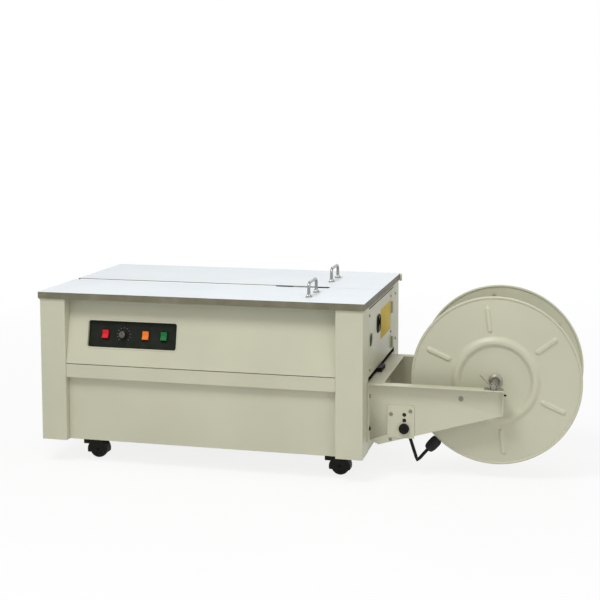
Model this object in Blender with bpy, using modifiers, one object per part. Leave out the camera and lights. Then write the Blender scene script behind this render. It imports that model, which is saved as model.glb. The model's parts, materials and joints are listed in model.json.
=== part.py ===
"""Semi-automatic strapping machine with a low table and a strap reel on its right side.

Metres, +Z up. The floor is z = 0, the operator stands at -Y and the reel is on the +X side. The origin is on
the floor under the middle of the whole machine. Lengths "along" are measured from the table's left edge and
lengths "in" from its front edge, which at_x and at_y turn into world places.
"""

from math import asin, atan2, cos, pi, radians, sin

import bmesh
import bpy
from mathutils import Matrix, Vector

# Overall sizes
TABLE_WIDTH = 0.900
TABLE_DEPTH = 0.570
TABLE_HEIGHT = 0.475
FLOOR_GAP = 0.068

# Clearances: between pieces that stay still, round turning pieces, and past the end of a cut
GAP = 0.0003
RUNNING = 0.0003
OVER = 0.010

# Sheet metal
SHEET = 0.0020
BASE_SHEET = 0.0030
SKIRT_HEIGHT = 0.018
LEG_SETBACK = 0.004
LEG_WIDTH = 0.072
LEG_DEPTH = 0.078
RAIL_TOP = 0.279
RAIL_BOTTOM = 0.243
RAIL_DEPTH = 0.030
RAIL_SETBACK = 0.006
PANEL_TOP_SETBACK = 0.042
LOWER_PANEL_SETBACK = 0.022
LOWER_PANEL_LIFT = 0.001
PANEL_RECESS = 0.0015
PANEL_HEADROOM = 0.004

# Strap slot and table leaves; the slot, the handles and the head keep their place from the right edge
SLOT_IN = 0.247
SLOT_WIDTH = 0.024
SLOT_END = TABLE_WIDTH - 0.146
HEAD_START = TABLE_WIDTH - 0.300
CHANNEL_END = HEAD_START - GAP
CHANNEL_DROP = 0.0015
CHANNEL_DEPTH = 0.016
LEAF_SEAM = 0.001
HINGE_KNUCKLE = 0.0037
HINGE_FIXED_KNUCKLE = 0.0031
HINGE_DROP = 0.0033
HINGE_LENGTH = 0.060
HINGE_PLATE = 0.045
HINGE_SHARE = 0.30
HANDLE_ALONG = TABLE_WIDTH - 0.164
HANDLE_LENGTH = 0.085
HANDLE_HEIGHT = 0.042
HANDLE_ROD = 0.004
HANDLE_BEND = 0.012
HANDLE_FOOT = (0.010, 0.0055, 0.006)
FRONT_HANDLE_IN = 0.123
REAR_HANDLE_IN = 0.397

# Control panel, measured along the sloping panel
CONTROL_ALONG = 0.261
CONTROL_WIDTH = 0.254
CONTROL_HEIGHT = 0.073
CONTROL_DROP = 0.096
CONTROL_RECESS = 0.009
CONTROL_PLATE = 0.003
CONTROL_MARGIN = 0.012
WINDOW_CORNER = 0.006
ROCKER_WIDTH = 0.0175
ROCKER_HEIGHT = 0.0225
ROCKER_DEPTH = 0.012
ROCKER_PROUD = 0.0065
ROCKER_DIP = 0.0025
ROCKER_SIDE_GAP = 0.0006
ROCKER_END_GAP = 0.0012
ROCKER_TILT = radians(8)
CASE_WALL = 0.003
CASE_DEPTH = 0.022
KNOB_RADIUS = 0.013
KNOB_TIP_RADIUS = 0.0112
KNOB_LENGTH = 0.014
KNOB_GAP = 0.001
SPINDLE_RADIUS = 0.003
SPINDLE_LENGTH = 0.016
SPINDLE_IN = 0.012

# Casters
CASTER_ALONG = 0.106
CASTER_IN = 0.090
CASTER_TRAIL = 0.026
WHEEL_RADIUS = 0.025
WHEEL_WIDTH = 0.020
HOOD_WALL = 0.0025
HOOD_ROOM = 0.0015
HOOD_OPEN = 0.008
NECK_WIDTH = 0.014
NECK_LIFT = 0.015
NECK_DROP = 0.008
NECK_INSET = 0.0005
CASTER_DISC = (0.018, 0.012)
CASTER_PIN = 0.004
CASTER_STEM = 0.006
STEM_OUT = 0.003
BOSS_RADIUS = 0.014
BOSS_HEIGHT = 0.014

# Reel bracket; lengths out are measured from the cabinet's right side
ARM_TOP = 0.255
ARM_SHEET = 0.003
ARM_IN = 0.088
REAR_ARM_IN = 0.420
ARM_OUT = 0.351
ARM_ROOT_HEIGHT = 0.166
ARM_TIP_HEIGHT = 0.070
ARM_FLANGE = 0.025
ARM_LIP = 0.010
ARM_LIP_LIFT = 0.004
ARM_FOOT = 0.026
ARM_CHAMFER = 0.012
WEB_WIDTH = 0.040
ADJUSTER_OUT = 0.086
ADJUSTER_LENGTH = 0.071
ADJUSTER_HEIGHT = 0.087
ADJUSTER_BELOW = 0.026
ADJUSTER_HOLE = 0.0055
ADJUSTER_HOLES_UP = (0.021, 0.036)

# Right side cover and strap inlet
COVER_BOTTOM = ARM_TOP + 0.012
COVER_DROP = 0.005
INLET_IN = (0.205, 0.260)
INLET_BACK = 0.012
INLET_OUT = 0.014
INLET_WALL = 0.008
INLET_SLIT = 0.006
OVAL_IN = (0.093, 0.134)
OVAL_DROP = (0.131, 0.095)
LATCH_IN = (0.201, 0.252)
LATCH_DROP = (0.113, 0.067)

# Reel and brake
REEL_OUT = 0.326
REEL_RADIUS = 0.222
REEL_FRONT_IN = 0.140
REEL_REAR_IN = 0.340
REEL_SHEET = 0.0016
RIM_BEAD = 0.0035
RING_RAISE = 0.004
RING_FOOT = (0.084, 0.118)
RING_CREST = (0.099, 0.111)
CORE_RADIUS = 0.080
CORE_WALL = 0.002
HUB_WALL = 0.006
AXLE_RADIUS = 0.008
AXLE_INSET = 0.004
CLAMP_SHEET = 0.0025
CLAMP_FOOT = 0.024
CLAMP_WIDTH = 0.014
BRAKE_OUT = 0.095
BRAKE_HEIGHT = 0.137
BRAKE_ROD = 0.0045
BRAKE_CAP = (0.0135, 0.008)
BRAKE_ANGLE = radians(227.8)
LEVER_BEND = (0.030, 0.030, -0.092)
LEVER_TOP = ((0, -0.008, 0), (0, 0.020, 0), (0.004, 0.026, -0.010))
LEVER_CORNER = ((-0.003, -0.002, 0.010), (0, 0, 0), (0.006, 0.006, 0.004))
ROD_IN_BLOCK = 0.012
BLOCK_LENGTH = 0.040
BLOCK_THICK = 0.024
BLOCK_WIDTH = 0.034

# Strapping head; lengths on are measured from the head's left face
HEAD_LENGTH = 0.170
HEAD_WALL = 0.0055
HEAD_HEADROOM = 0.004
HEAD_POST = 0.020
WINDOW_ROOM = 0.004
WINDOW_BRIDGE = 0.060
PRESS_WIDTH = 0.0204
PRESS_LENGTH = 0.060
PRESS_THICK = 0.024
PRESS_DROP = 0.0125
PRESS_ON = (0.040, 0.083, 0.126)
GROOVE_WIDTH = 0.0016
GROOVE_DEPTH = 0.001
GROOVE_PITCH = 0.004
SLIDE_ON = (0.050, 0.116)
SLIDE_DROP = (0.0035, 0.0010)
BLADE_ON = 0.100
BLADE_CLEAR = 0.0035
BLADE_WIDTH = 0.020
BLADE_DROP = (0.0072, 0.0057)
BLADE_ARM = (0.006, 0.070)
BLADE_FOOT = (0.008, 0.020)

# Drive
CAM_RADIUS = 0.018
CAM_THROW = 0.004
CAM_THICK = 0.010
CAM_SHAFT = 0.006
SHAFT_OUT = 0.008
MOTOR_RADIUS = 0.045
MOTOR_LENGTH = 0.140
MOTOR_HEIGHT = 0.075
MOTOR_SHAFT = 0.007
MOTOR_FOOT = 0.020
MOTOR_BORE = 0.030
SHAFT_INSET = 0.0025
MOTOR_PULLEY = 0.025
CAM_PULLEY = 0.040
PULLEY_WIDTH = 0.014
BELT_THICK = 0.003
BELT_WIDTH = 0.010
BELT_BACK = 0.020
FEED_RADIUS = 0.025
PINCH_RADIUS = 0.015
NIP = 0.001
ROLLER_WIDTH = 0.024
ROLLER_PIN = 0.005
ROLLER_GAP = 0.003
FEED_IN = 0.061
FEED_HEIGHT = 0.245
FEED_PLATE = (0.060, 0.004, 0.035)

# Electrical boxes: each one's lengths along and in, and its height
TRANSFORMER = ((0.200, 0.280), (0.360, 0.440), 0.070)
TRANSFORMER_COIL = (0.015, 0.012)
CONTROL_BOX = ((0.095, 0.260), (0.120, 0.240), 0.060)

SIDE = TABLE_WIDTH - LEG_SETBACK
OVERALL = HINGE_KNUCKLE + SIDE + REEL_OUT + REEL_RADIUS
LEFT = HINGE_KNUCKLE - OVERALL / 2
FRONT = -TABLE_DEPTH / 2
TOP = TABLE_HEIGHT
TRAY_TOP = FLOOR_GAP + BASE_SHEET
AXLE_Z = ARM_TOP + AXLE_RADIUS + GAP
HINGE_Z = TOP - SKIRT_HEIGHT - HINGE_DROP
PANEL_TOP_Z = TOP - SKIRT_HEIGHT
PANEL_RUN = PANEL_TOP_Z - RAIL_TOP
PANEL_TILT = atan2(PANEL_TOP_SETBACK - RAIL_SETBACK, PANEL_RUN)
PLATE_FACE = -SHEET / 2 - CONTROL_RECESS - GAP
CAM_Z = TOP - PRESS_DROP - PRESS_LENGTH - CAM_RADIUS - CAM_THROW - GAP
BELT_ALONG = HEAD_START - BELT_BACK
MOTOR_Z = TRAY_TOP + MOTOR_HEIGHT

CREAM = (0.54, 0.53, 0.41)
STEEL = (0.82, 0.86, 0.88)
BLACK = (0.02, 0.02, 0.02)
FRAME_GREY = (0.35, 0.36, 0.37)
CONTROLS = {"power_switch": (0.182, (0.55, 0.02, 0.03)), "tension_knob": (0.234, BLACK),
            "feed_switch": (0.297, (0.62, 0.15, 0.03)), "reset_switch": (0.349, (0.01, 0.16, 0.05))}

for old in list(bpy.data.objects):
    bpy.data.objects.remove(old, do_unlink=True)

machine = bpy.data.collections.new("strapping_machine")
cutters = bpy.data.collections.new("cutters")
for group in (machine, cutters):
    bpy.context.scene.collection.children.link(group)


def at_x(along):
    """World X of a length from the table's left edge."""
    return LEFT + along


def at_y(depth):
    """World Y of a length from the table's front edge."""
    return FRONT + depth


def make_material(name, colour, roughness, metallic=0.0):
    """A Principled material of one finish."""
    made = bpy.data.materials.new(name)
    made.use_nodes = True
    shader = made.node_tree.nodes["Principled BSDF"]
    shader.inputs["Base Color"].default_value = (*colour, 1.0)
    shader.inputs["Roughness"].default_value = roughness
    shader.inputs["Metallic"].default_value = metallic
    return made


def keep(obj, name, colour, roughness=0.5, metallic=0.0):
    """Names a finished sub-part, gives it its own material and puts it in the machine's collection."""
    obj.name = name
    obj.data.name = name
    obj.data.materials.clear()
    obj.data.materials.append(make_material(name, colour, roughness, metallic))
    for group in list(obj.users_collection):
        group.objects.unlink(obj)
    machine.objects.link(obj)
    return obj


def hide(obj):
    """Puts a tool shape with the cutters, out of the render."""
    for group in list(obj.users_collection):
        group.objects.unlink(obj)
    cutters.objects.link(obj)
    obj.hide_render = True
    obj.display_type = "WIRE"
    return obj


def combine(obj, operation, *tools):
    """Cuts the tools from a sub-part (DIFFERENCE) or joins them to it (UNION)."""
    for tool in tools:
        change = obj.modifiers.new(operation.lower(), "BOOLEAN")
        change.operation = operation
        change.solver = "EXACT"
        change.object = hide(tool)
    return obj


def cut(obj, *tools):
    """Cuts the tools from a sub-part."""
    return combine(obj, "DIFFERENCE", *tools)


def join(obj, *tools):
    """Joins the tools to a sub-part."""
    return combine(obj, "UNION", *tools)


def box(x, y, z):
    """A block between two world places on each axis."""
    middle = [(low + high) / 2 for low, high in (x, y, z)]
    bpy.ops.mesh.primitive_cube_add(size=1, location=middle)
    obj = bpy.context.object
    obj.data.transform(Matrix.Diagonal([high - low for low, high in (x, y, z)]).to_4x4())
    return obj


def turned_to(axis):
    """The rotation that takes +Z to an axis."""
    return Vector((0, 0, 1)).rotation_difference(Vector(axis))


def cylinder(radius, start, axis, length, sides=24, top_radius=None):
    """A round bar, or a cone with a top radius, from its start along an axis."""
    direction = Vector(axis).normalized()
    shape = bmesh.new()
    bmesh.ops.create_cone(shape, cap_ends=True, segments=sides, radius1=radius, depth=length,
                          radius2=radius if top_radius is None else top_radius)
    mesh = bpy.data.meshes.new("round")
    shape.to_mesh(mesh)
    shape.free()
    mesh.transform(turned_to(direction).to_matrix().to_4x4())
    mesh.shade_smooth()
    mesh.set_sharp_from_angle(angle=radians(35))
    obj = bpy.data.objects.new("round", mesh)
    obj.location = Vector(start) + direction * length / 2
    bpy.context.scene.collection.objects.link(obj)
    return obj


def plate(points, thickness, place, turn=(pi / 2, 0, 0), extra_loops=()):
    """A flat outline with a thickness, standing in the XZ plane unless turned otherwise."""
    outline = bpy.data.curves.new("outline", "CURVE")
    outline.dimensions = "2D"
    outline.fill_mode = "BOTH"
    outline.extrude = thickness / 2
    for loop in (points, *extra_loops):
        spline = outline.splines.new("POLY")
        spline.points.add(len(loop) - 1)
        for point, (u, v) in zip(spline.points, loop):
            point.co = (u, v, 0, 1)
        spline.use_cyclic_u = True
    return as_mesh(bpy.data.objects.new("outline", outline), place, turn)


def as_mesh(curve_object, place=(0, 0, 0), turn=(0, 0, 0)):
    """A curve's closed mesh in its place, welded at its caps."""
    bpy.context.scene.collection.objects.link(curve_object)
    curve_object.location = place
    curve_object.rotation_euler = turn
    graph = bpy.context.evaluated_depsgraph_get()
    evaluated = curve_object.evaluated_get(graph)
    mesh = bpy.data.meshes.new_from_object(evaluated)
    shape = bmesh.new()
    shape.from_mesh(mesh)
    bmesh.ops.remove_doubles(shape, verts=shape.verts, dist=0.000005)
    shape.to_mesh(mesh)
    shape.free()
    obj = bpy.data.objects.new("shape", mesh)
    obj.matrix_world = curve_object.matrix_world
    bpy.context.scene.collection.objects.link(obj)
    bpy.data.objects.remove(curve_object, do_unlink=True)
    return obj


def wire(points, radius, detail=2, closed=False):
    """A round bar bent through world points."""
    path = bpy.data.curves.new("path", "CURVE")
    path.dimensions = "3D"
    path.bevel_depth = radius
    path.bevel_resolution = detail
    path.use_fill_caps = True
    spline = path.splines.new("POLY")
    spline.points.add(len(points) - 1)
    for point, place in zip(spline.points, points):
        point.co = (*place, 1)
    spline.use_cyclic_u = closed
    return as_mesh(bpy.data.objects.new("path", path))


def turned(profile, centre, axis, steps=48):
    """A closed ring profile of (radius, height) points turned about an axis through its centre."""
    mesh = bpy.data.meshes.new("profile")
    shape = bmesh.new()
    points = [shape.verts.new((radius, 0, height)) for radius, height in profile]
    for first, second in zip(points, points[1:] + points[:1]):
        shape.edges.new((first, second))
    shape.to_mesh(mesh)
    shape.free()
    obj = bpy.data.objects.new("turned", mesh)
    bpy.context.scene.collection.objects.link(obj)
    obj.location = centre
    obj.rotation_euler = turned_to(axis).to_euler()
    screw = obj.modifiers.new("turn", "SCREW")
    screw.steps = steps
    screw.render_steps = steps
    screw.use_merge_vertices = True
    screw.merge_threshold = 0.0001
    screw.use_normal_calculate = True
    return obj


def move_origin(obj, place):
    """Puts a sub-part's origin on its joint axis without moving its shape."""
    bpy.context.view_layer.update()
    shift = obj.matrix_world.inverted() @ Vector(place)
    obj.data.transform(Matrix.Translation(-shift))
    obj.matrix_world = obj.matrix_world @ Matrix.Translation(shift)
    return obj


def bake(obj):
    """Moves an object's placement into its mesh."""
    bpy.context.view_layer.update()
    obj.data.transform(obj.matrix_world)
    obj.matrix_world = Matrix.Identity(4)
    return obj


def local_box(x, y, z):
    """A block about the origin, ready to be tilted onto the sloping panel."""
    return bake(box(x, y, z))


def inner_x():
    """World X of the sheets that fit between the left and right legs."""
    return (at_x(LEG_SETBACK + LEG_WIDTH + GAP), at_x(SIDE - LEG_WIDTH - GAP))


def inner_y():
    """World Y of the sheets that fit between the front and rear legs."""
    return (at_y(LEG_SETBACK + LEG_DEPTH + GAP), at_y(TABLE_DEPTH - LEG_SETBACK - LEG_DEPTH - GAP))


# Cabinet


def leg(name, right, rear):
    """A folded corner post, open on the side away from its end of the table, with a foot plate."""
    along = (SIDE - LEG_WIDTH, SIDE) if right else (LEG_SETBACK, LEG_SETBACK + LEG_WIDTH)
    far = TABLE_DEPTH - LEG_SETBACK
    depth = (far - LEG_DEPTH, far) if rear else (LEG_SETBACK, LEG_SETBACK + LEG_DEPTH)
    top = TOP - SHEET - GAP
    x = tuple(map(at_x, along))
    y = tuple(map(at_y, depth))
    post = box(x, y, (FLOOR_GAP, top))
    hollow_x = (x[0] + SHEET, x[1] - SHEET)
    hollow_y = (y[0] - OVER, y[1] - SHEET) if rear else (y[0] + SHEET, y[1] + OVER)
    cut(post, box(hollow_x, hollow_y, (TRAY_TOP, top + OVER)))
    return keep(post, name, CREAM)


def caster_places():
    """Each caster's swivel axis, as lengths along and in."""
    return [(along, depth) for along in (CASTER_ALONG, TABLE_WIDTH - CASTER_ALONG)
            for depth in (CASTER_IN, TABLE_DEPTH - CASTER_IN)]


def base_tray():
    """The floor of the cabinet between the legs' foot plates, with four caster bosses."""
    rear = TABLE_DEPTH - LEG_SETBACK - PANEL_RECESS - 2 * SHEET
    y = (at_y(LOWER_PANEL_SETBACK + SHEET + GAP), at_y(rear))
    tray = box(inner_x(), y, (FLOOR_GAP, TRAY_TOP))
    side_x = (at_x(LEG_SETBACK + PANEL_RECESS), at_x(SIDE - PANEL_RECESS))
    join(tray, box(side_x, inner_y(), (FLOOR_GAP, TRAY_TOP)))
    for along, depth in caster_places():
        centre = (at_x(along), at_y(depth), FLOOR_GAP)
        join(tray, cylinder(BOSS_RADIUS, centre, (0, 0, 1), BOSS_HEIGHT))
        start = (centre[0], centre[1], FLOOR_GAP - OVER)
        cut(tray, cylinder(CASTER_STEM + RUNNING, start, (0, 0, 1), BOSS_HEIGHT + 2 * OVER))
    return keep(tray, "base_tray", CREAM)


def front_rail():
    """The channel across the front between the upper and lower sheets, open to the back."""
    x = inner_x()
    rail = box(x, (at_y(RAIL_SETBACK), at_y(RAIL_SETBACK + RAIL_DEPTH)), (RAIL_BOTTOM, RAIL_TOP))
    hollow_y = (at_y(RAIL_SETBACK + SHEET), at_y(RAIL_SETBACK + RAIL_DEPTH) + OVER)
    cut(rail, box((x[0] - OVER, x[1] + OVER), hollow_y, (RAIL_BOTTOM + SHEET, RAIL_TOP - SHEET)))
    return keep(rail, "front_rail", CREAM)


def on_front_panel(along, drop, out=0.0):
    """World place of a point on the sloping panel: a length along, one down its slope and one out of it."""
    depth = PANEL_TOP_SETBACK - drop * sin(PANEL_TILT) - out * cos(PANEL_TILT)
    height = PANEL_TOP_Z - drop * cos(PANEL_TILT) + out * sin(PANEL_TILT)
    return Vector((at_x(along), at_y(depth), height))


def tilt(obj, along, drop, out=0.0):
    """Sets a piece modelled about its own centre, facing -Y, on the sloping panel."""
    obj.location = on_front_panel(along, drop, out)
    obj.rotation_euler = (-PANEL_TILT, 0, 0)
    return obj


def rounded(width, height, radius, steps=4):
    """The corners of a rounded rectangle about the origin, anticlockwise."""
    points = []
    for index, (sx, sy) in enumerate(((1, 1), (-1, 1), (-1, -1), (1, -1))):
        for step in range(steps + 1):
            angle = (index + step / steps) * pi / 2
            points.append((sx * (width / 2 - radius) + radius * cos(angle),
                           sy * (height / 2 - radius) + radius * sin(angle)))
    return points


def front_upper_panel():
    """The sloping sheet above the rail, with the rounded window that the control panel sits behind."""
    width = TABLE_WIDTH - 2 * (LEG_SETBACK + LEG_WIDTH + GAP)
    height = PANEL_RUN / cos(PANEL_TILT) - 2 * SHEET
    middle_drop = height / 2 + SHEET
    flat = bake(plate([(-width / 2, -height / 2), (width / 2, -height / 2),
                       (width / 2, height / 2), (-width / 2, height / 2)], SHEET, (0, 0, 0)))
    side = CONTROL_ALONG - TABLE_WIDTH / 2
    up = middle_drop - CONTROL_DROP
    window = bake(plate(rounded(CONTROL_WIDTH, CONTROL_HEIGHT, WINDOW_CORNER),
                        2 * (CONTROL_RECESS + OVER), (side, 0, up)))
    rim = bake(plate(rounded(CONTROL_WIDTH + 2 * SHEET, CONTROL_HEIGHT + 2 * SHEET, WINDOW_CORNER + SHEET),
                     CONTROL_RECESS, (side, CONTROL_RECESS / 2, up)))
    for piece in (flat, window, rim):
        tilt(piece, TABLE_WIDTH / 2, middle_drop, -SHEET / 2)
    join(flat, rim)
    cut(flat, window)
    return keep(flat, "front_upper_panel", CREAM)


def control_panel():
    """The black plate behind the window, with the switch and knob holes and a case behind each switch."""
    outline = rounded(CONTROL_WIDTH + CONTROL_MARGIN, CONTROL_HEIGHT + CONTROL_MARGIN, WINDOW_CORNER)
    panel = bake(plate(outline, CONTROL_PLATE, (0, 0, 0)))
    out = PLATE_FACE - CONTROL_PLATE / 2
    tilt(panel, CONTROL_ALONG, CONTROL_DROP, out)
    half_width = ROCKER_WIDTH / 2 + ROCKER_SIDE_GAP
    half_height = ROCKER_HEIGHT / 2 + ROCKER_END_GAP
    for name, (along, _) in CONTROLS.items():
        if name.endswith("knob"):
            length = CONTROL_PLATE + 2 * OVER
            hole = bake(cylinder(SPINDLE_RADIUS + RUNNING, (0, -OVER, 0), (0, 1, 0), length))
            cut(panel, tilt(hole, along, CONTROL_DROP, out))
            continue
        case = local_box((-half_width - CASE_WALL, half_width + CASE_WALL), (0, CASE_DEPTH),
                         (-half_height - CASE_WALL, half_height + CASE_WALL))
        room = local_box((-half_width, half_width), (-OVER, CASE_DEPTH - CASE_WALL),
                         (-half_height, half_height))
        join(panel, tilt(case, along, CONTROL_DROP, out))
        cut(panel, tilt(room, along, CONTROL_DROP, out))
    return keep(panel, "control_panel", BLACK)


def rocker(name, along, colour):
    """A two-way rocker key, tilted on its cross pin."""
    half = ROCKER_HEIGHT / 2
    outline = [(-ROCKER_DEPTH / 2, -half), (-ROCKER_DEPTH / 2, half), (ROCKER_DEPTH / 2, half),
               (ROCKER_DEPTH / 2 - ROCKER_DIP, 0), (ROCKER_DEPTH / 2, -half)]
    key = bake(plate(outline, ROCKER_WIDTH, (0, 0, 0), (pi / 2, 0, -pi / 2)))
    key.location = on_front_panel(along, CONTROL_DROP, PLATE_FACE + ROCKER_PROUD - ROCKER_DEPTH / 2)
    key.rotation_euler = (-PANEL_TILT - ROCKER_TILT, 0, 0)
    return keep(key, name, colour, 0.3)


def tension_knob():
    """The round control on its own spindle through the panel."""
    knob = bake(cylinder(KNOB_RADIUS, (0, -KNOB_GAP, 0), (0, -1, 0), KNOB_LENGTH, 32, KNOB_TIP_RADIUS))
    spindle = bake(cylinder(SPINDLE_RADIUS, (0, SPINDLE_IN, 0), (0, -1, 0), SPINDLE_LENGTH, 16))
    along = CONTROLS["tension_knob"][0]
    for piece in (knob, spindle):
        tilt(piece, along, CONTROL_DROP, PLATE_FACE)
    join(knob, spindle)
    return keep(knob, "tension_knob", BLACK, 0.35)


def flat_panel(name, x, y, z, *holes):
    """A flat painted sheet with its holes."""
    return keep(cut(box(x, y, z), *holes), name, CREAM)


def slot_tool(depth, drop, at):
    """A cutter through a side panel with round ends, between two depths and two drops from the table."""
    width = depth[1] - depth[0]
    height = drop[0] - drop[1]
    tool = bake(plate(rounded(width, height, min(width, height) / 2 - GAP, 6), SHEET + 2 * OVER, (0, 0, 0),
                      (pi / 2, 0, pi / 2)))
    tool.location = (at, at_y(sum(depth) / 2), TOP - sum(drop) / 2)
    return tool


def panels():
    """The flat sheets that close the cabinet's sides, front and back."""
    front = at_y(LOWER_PANEL_SETBACK)
    flat_panel("front_lower_panel", inner_x(), (front, front + SHEET),
               (FLOOR_GAP + LOWER_PANEL_LIFT, RAIL_BOTTOM - GAP))
    upright = (TRAY_TOP + GAP, TOP - SHEET - PANEL_HEADROOM)
    back = at_y(TABLE_DEPTH - LEG_SETBACK - PANEL_RECESS)
    flat_panel("rear_panel", inner_x(), (back - SHEET, back), upright)
    left = at_x(LEG_SETBACK + PANEL_RECESS)
    flat_panel("left_panel", (left, left + SHEET), inner_y(), upright)
    right = at_x(SIDE - PANEL_RECESS)
    flat_panel("right_lower_panel", (right - SHEET, right), inner_y(), (upright[0], ARM_TOP - SHEET))
    cover_x = (at_x(SIDE) - SHEET, at_x(SIDE))
    middle = sum(cover_x) / 2
    flat_panel("side_cover", cover_x, inner_y(), (COVER_BOTTOM, PANEL_TOP_Z - COVER_DROP),
               slot_tool(OVAL_IN, OVAL_DROP, middle), slot_tool(LATCH_IN, LATCH_DROP, middle))


def strap_inlet():
    """The guide that leads the strap into the cabinet, just above the bracket."""
    x = (at_x(SIDE - INLET_BACK), at_x(SIDE + INLET_OUT))
    z = (ARM_TOP + 2 * GAP, COVER_BOTTOM - GAP)
    guide = box(x, tuple(map(at_y, INLET_IN)), z)
    middle = sum(z) / 2
    slit_y = (at_y(INLET_IN[0] + INLET_WALL), at_y(INLET_IN[1] - INLET_WALL))
    cut(guide, box((x[0] - OVER, x[1] + OVER), slit_y, (middle - INLET_SLIT / 2, middle + INLET_SLIT / 2)))
    return keep(guide, "strap_inlet", BLACK)


# Table


def hinge_start(rear):
    """How far in a leaf's hinge starts."""
    near, far = (SLOT_IN, TABLE_DEPTH) if rear else (0.0, SLOT_IN)
    return near + (far - near) * HINGE_SHARE - HINGE_LENGTH


def table_leaf(name, rear):
    """One half of the tabletop: a sheet with turned-down edges that swings up about its left edge."""
    seam = SLOT_IN + (LEAF_SEAM / 2 if rear else -LEAF_SEAM / 2)
    y = (at_y(seam), at_y(TABLE_DEPTH)) if rear else (at_y(0), at_y(seam))
    leaf = box((at_x(0), at_x(TABLE_WIDTH)), y, (TOP - SKIRT_HEIGHT, TOP))
    hollow_y = (y[0] - OVER, y[1] - SHEET) if rear else (y[0] + SHEET, y[1] + OVER)
    low = TOP - SKIRT_HEIGHT - OVER
    cut(leaf, box((at_x(SHEET), at_x(TABLE_WIDTH - SHEET)), hollow_y, (low, TOP - SHEET)))
    slot = (at_y(SLOT_IN - SLOT_WIDTH / 2), at_y(SLOT_IN + SLOT_WIDTH / 2))
    cut(leaf, box((at_x(-OVER), at_x(SLOT_END)), slot, (low, TOP + OVER)))
    barrel_y = at_y(hinge_start(rear)) + HINGE_LENGTH + GAP
    join(leaf, cylinder(HINGE_KNUCKLE, (at_x(0), barrel_y, HINGE_Z), (0, 1, 0), HINGE_LENGTH / 2, 16))
    return keep(leaf, name, STEEL, 0.3, 0.6)


def table_hinge(name, rear):
    """The fixed half of a leaf hinge: a knuckle on a plate against the cabinet's left side."""
    start = at_y(hinge_start(rear))
    knuckle = cylinder(HINGE_FIXED_KNUCKLE, (at_x(0), start, HINGE_Z), (0, 1, 0), HINGE_LENGTH, 16)
    join(knuckle, box((at_x(GAP), at_x(LEG_SETBACK) - GAP), (start, start + HINGE_LENGTH),
                      (HINGE_Z - HINGE_PLATE, HINGE_Z)))
    return keep(knuckle, name, STEEL, 0.35, 0.8)


def strap_channel():
    """The pressed channel that the strap slides along under the slot."""
    half = SLOT_WIDTH / 2 - 2 * GAP
    y = (at_y(SLOT_IN) - half, at_y(SLOT_IN) + half)
    top = TOP - CHANNEL_DROP
    x = (at_x(LEG_SETBACK + PANEL_RECESS + SHEET + GAP), at_x(CHANNEL_END))
    channel = box(x, y, (top - CHANNEL_DEPTH, top))
    cut(channel, box((x[0] - OVER, x[1] + OVER), (y[0] + SHEET, y[1] - SHEET),
                     (top - CHANNEL_DEPTH - OVER, top - SHEET)))
    return keep(channel, "strap_channel", (0.45, 0.48, 0.50), 0.4, 0.6)


def handle(name, depth):
    """A bent-rod handle on two round feet."""
    along = at_x(HANDLE_ALONG)
    near = at_y(depth - HANDLE_LENGTH / 2)
    far = at_y(depth + HANDLE_LENGTH / 2)
    base = TOP + GAP
    crest = TOP + HANDLE_HEIGHT - HANDLE_ROD
    foot_radius, foot_top, foot_height = HANDLE_FOOT
    points = [(along, near, base + foot_height / 6)]
    for side, sign in ((near, 1), (far, -1)):
        arc = [(along, side + sign * HANDLE_BEND * (1 - cos(step * pi / 8)),
                crest - HANDLE_BEND * (1 - sin(step * pi / 8))) for step in range(5)]
        points += arc if sign == 1 else arc[::-1]
    points.append((along, far, base + foot_height / 6))
    rod = wire(points, HANDLE_ROD)
    for side in (near, far):
        join(rod, cylinder(foot_radius, (along, side, base), (0, 0, 1), foot_height, 16, foot_top))
    return keep(rod, name, (0.75, 0.77, 0.79), 0.12, 1.0)


# Casters


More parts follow.
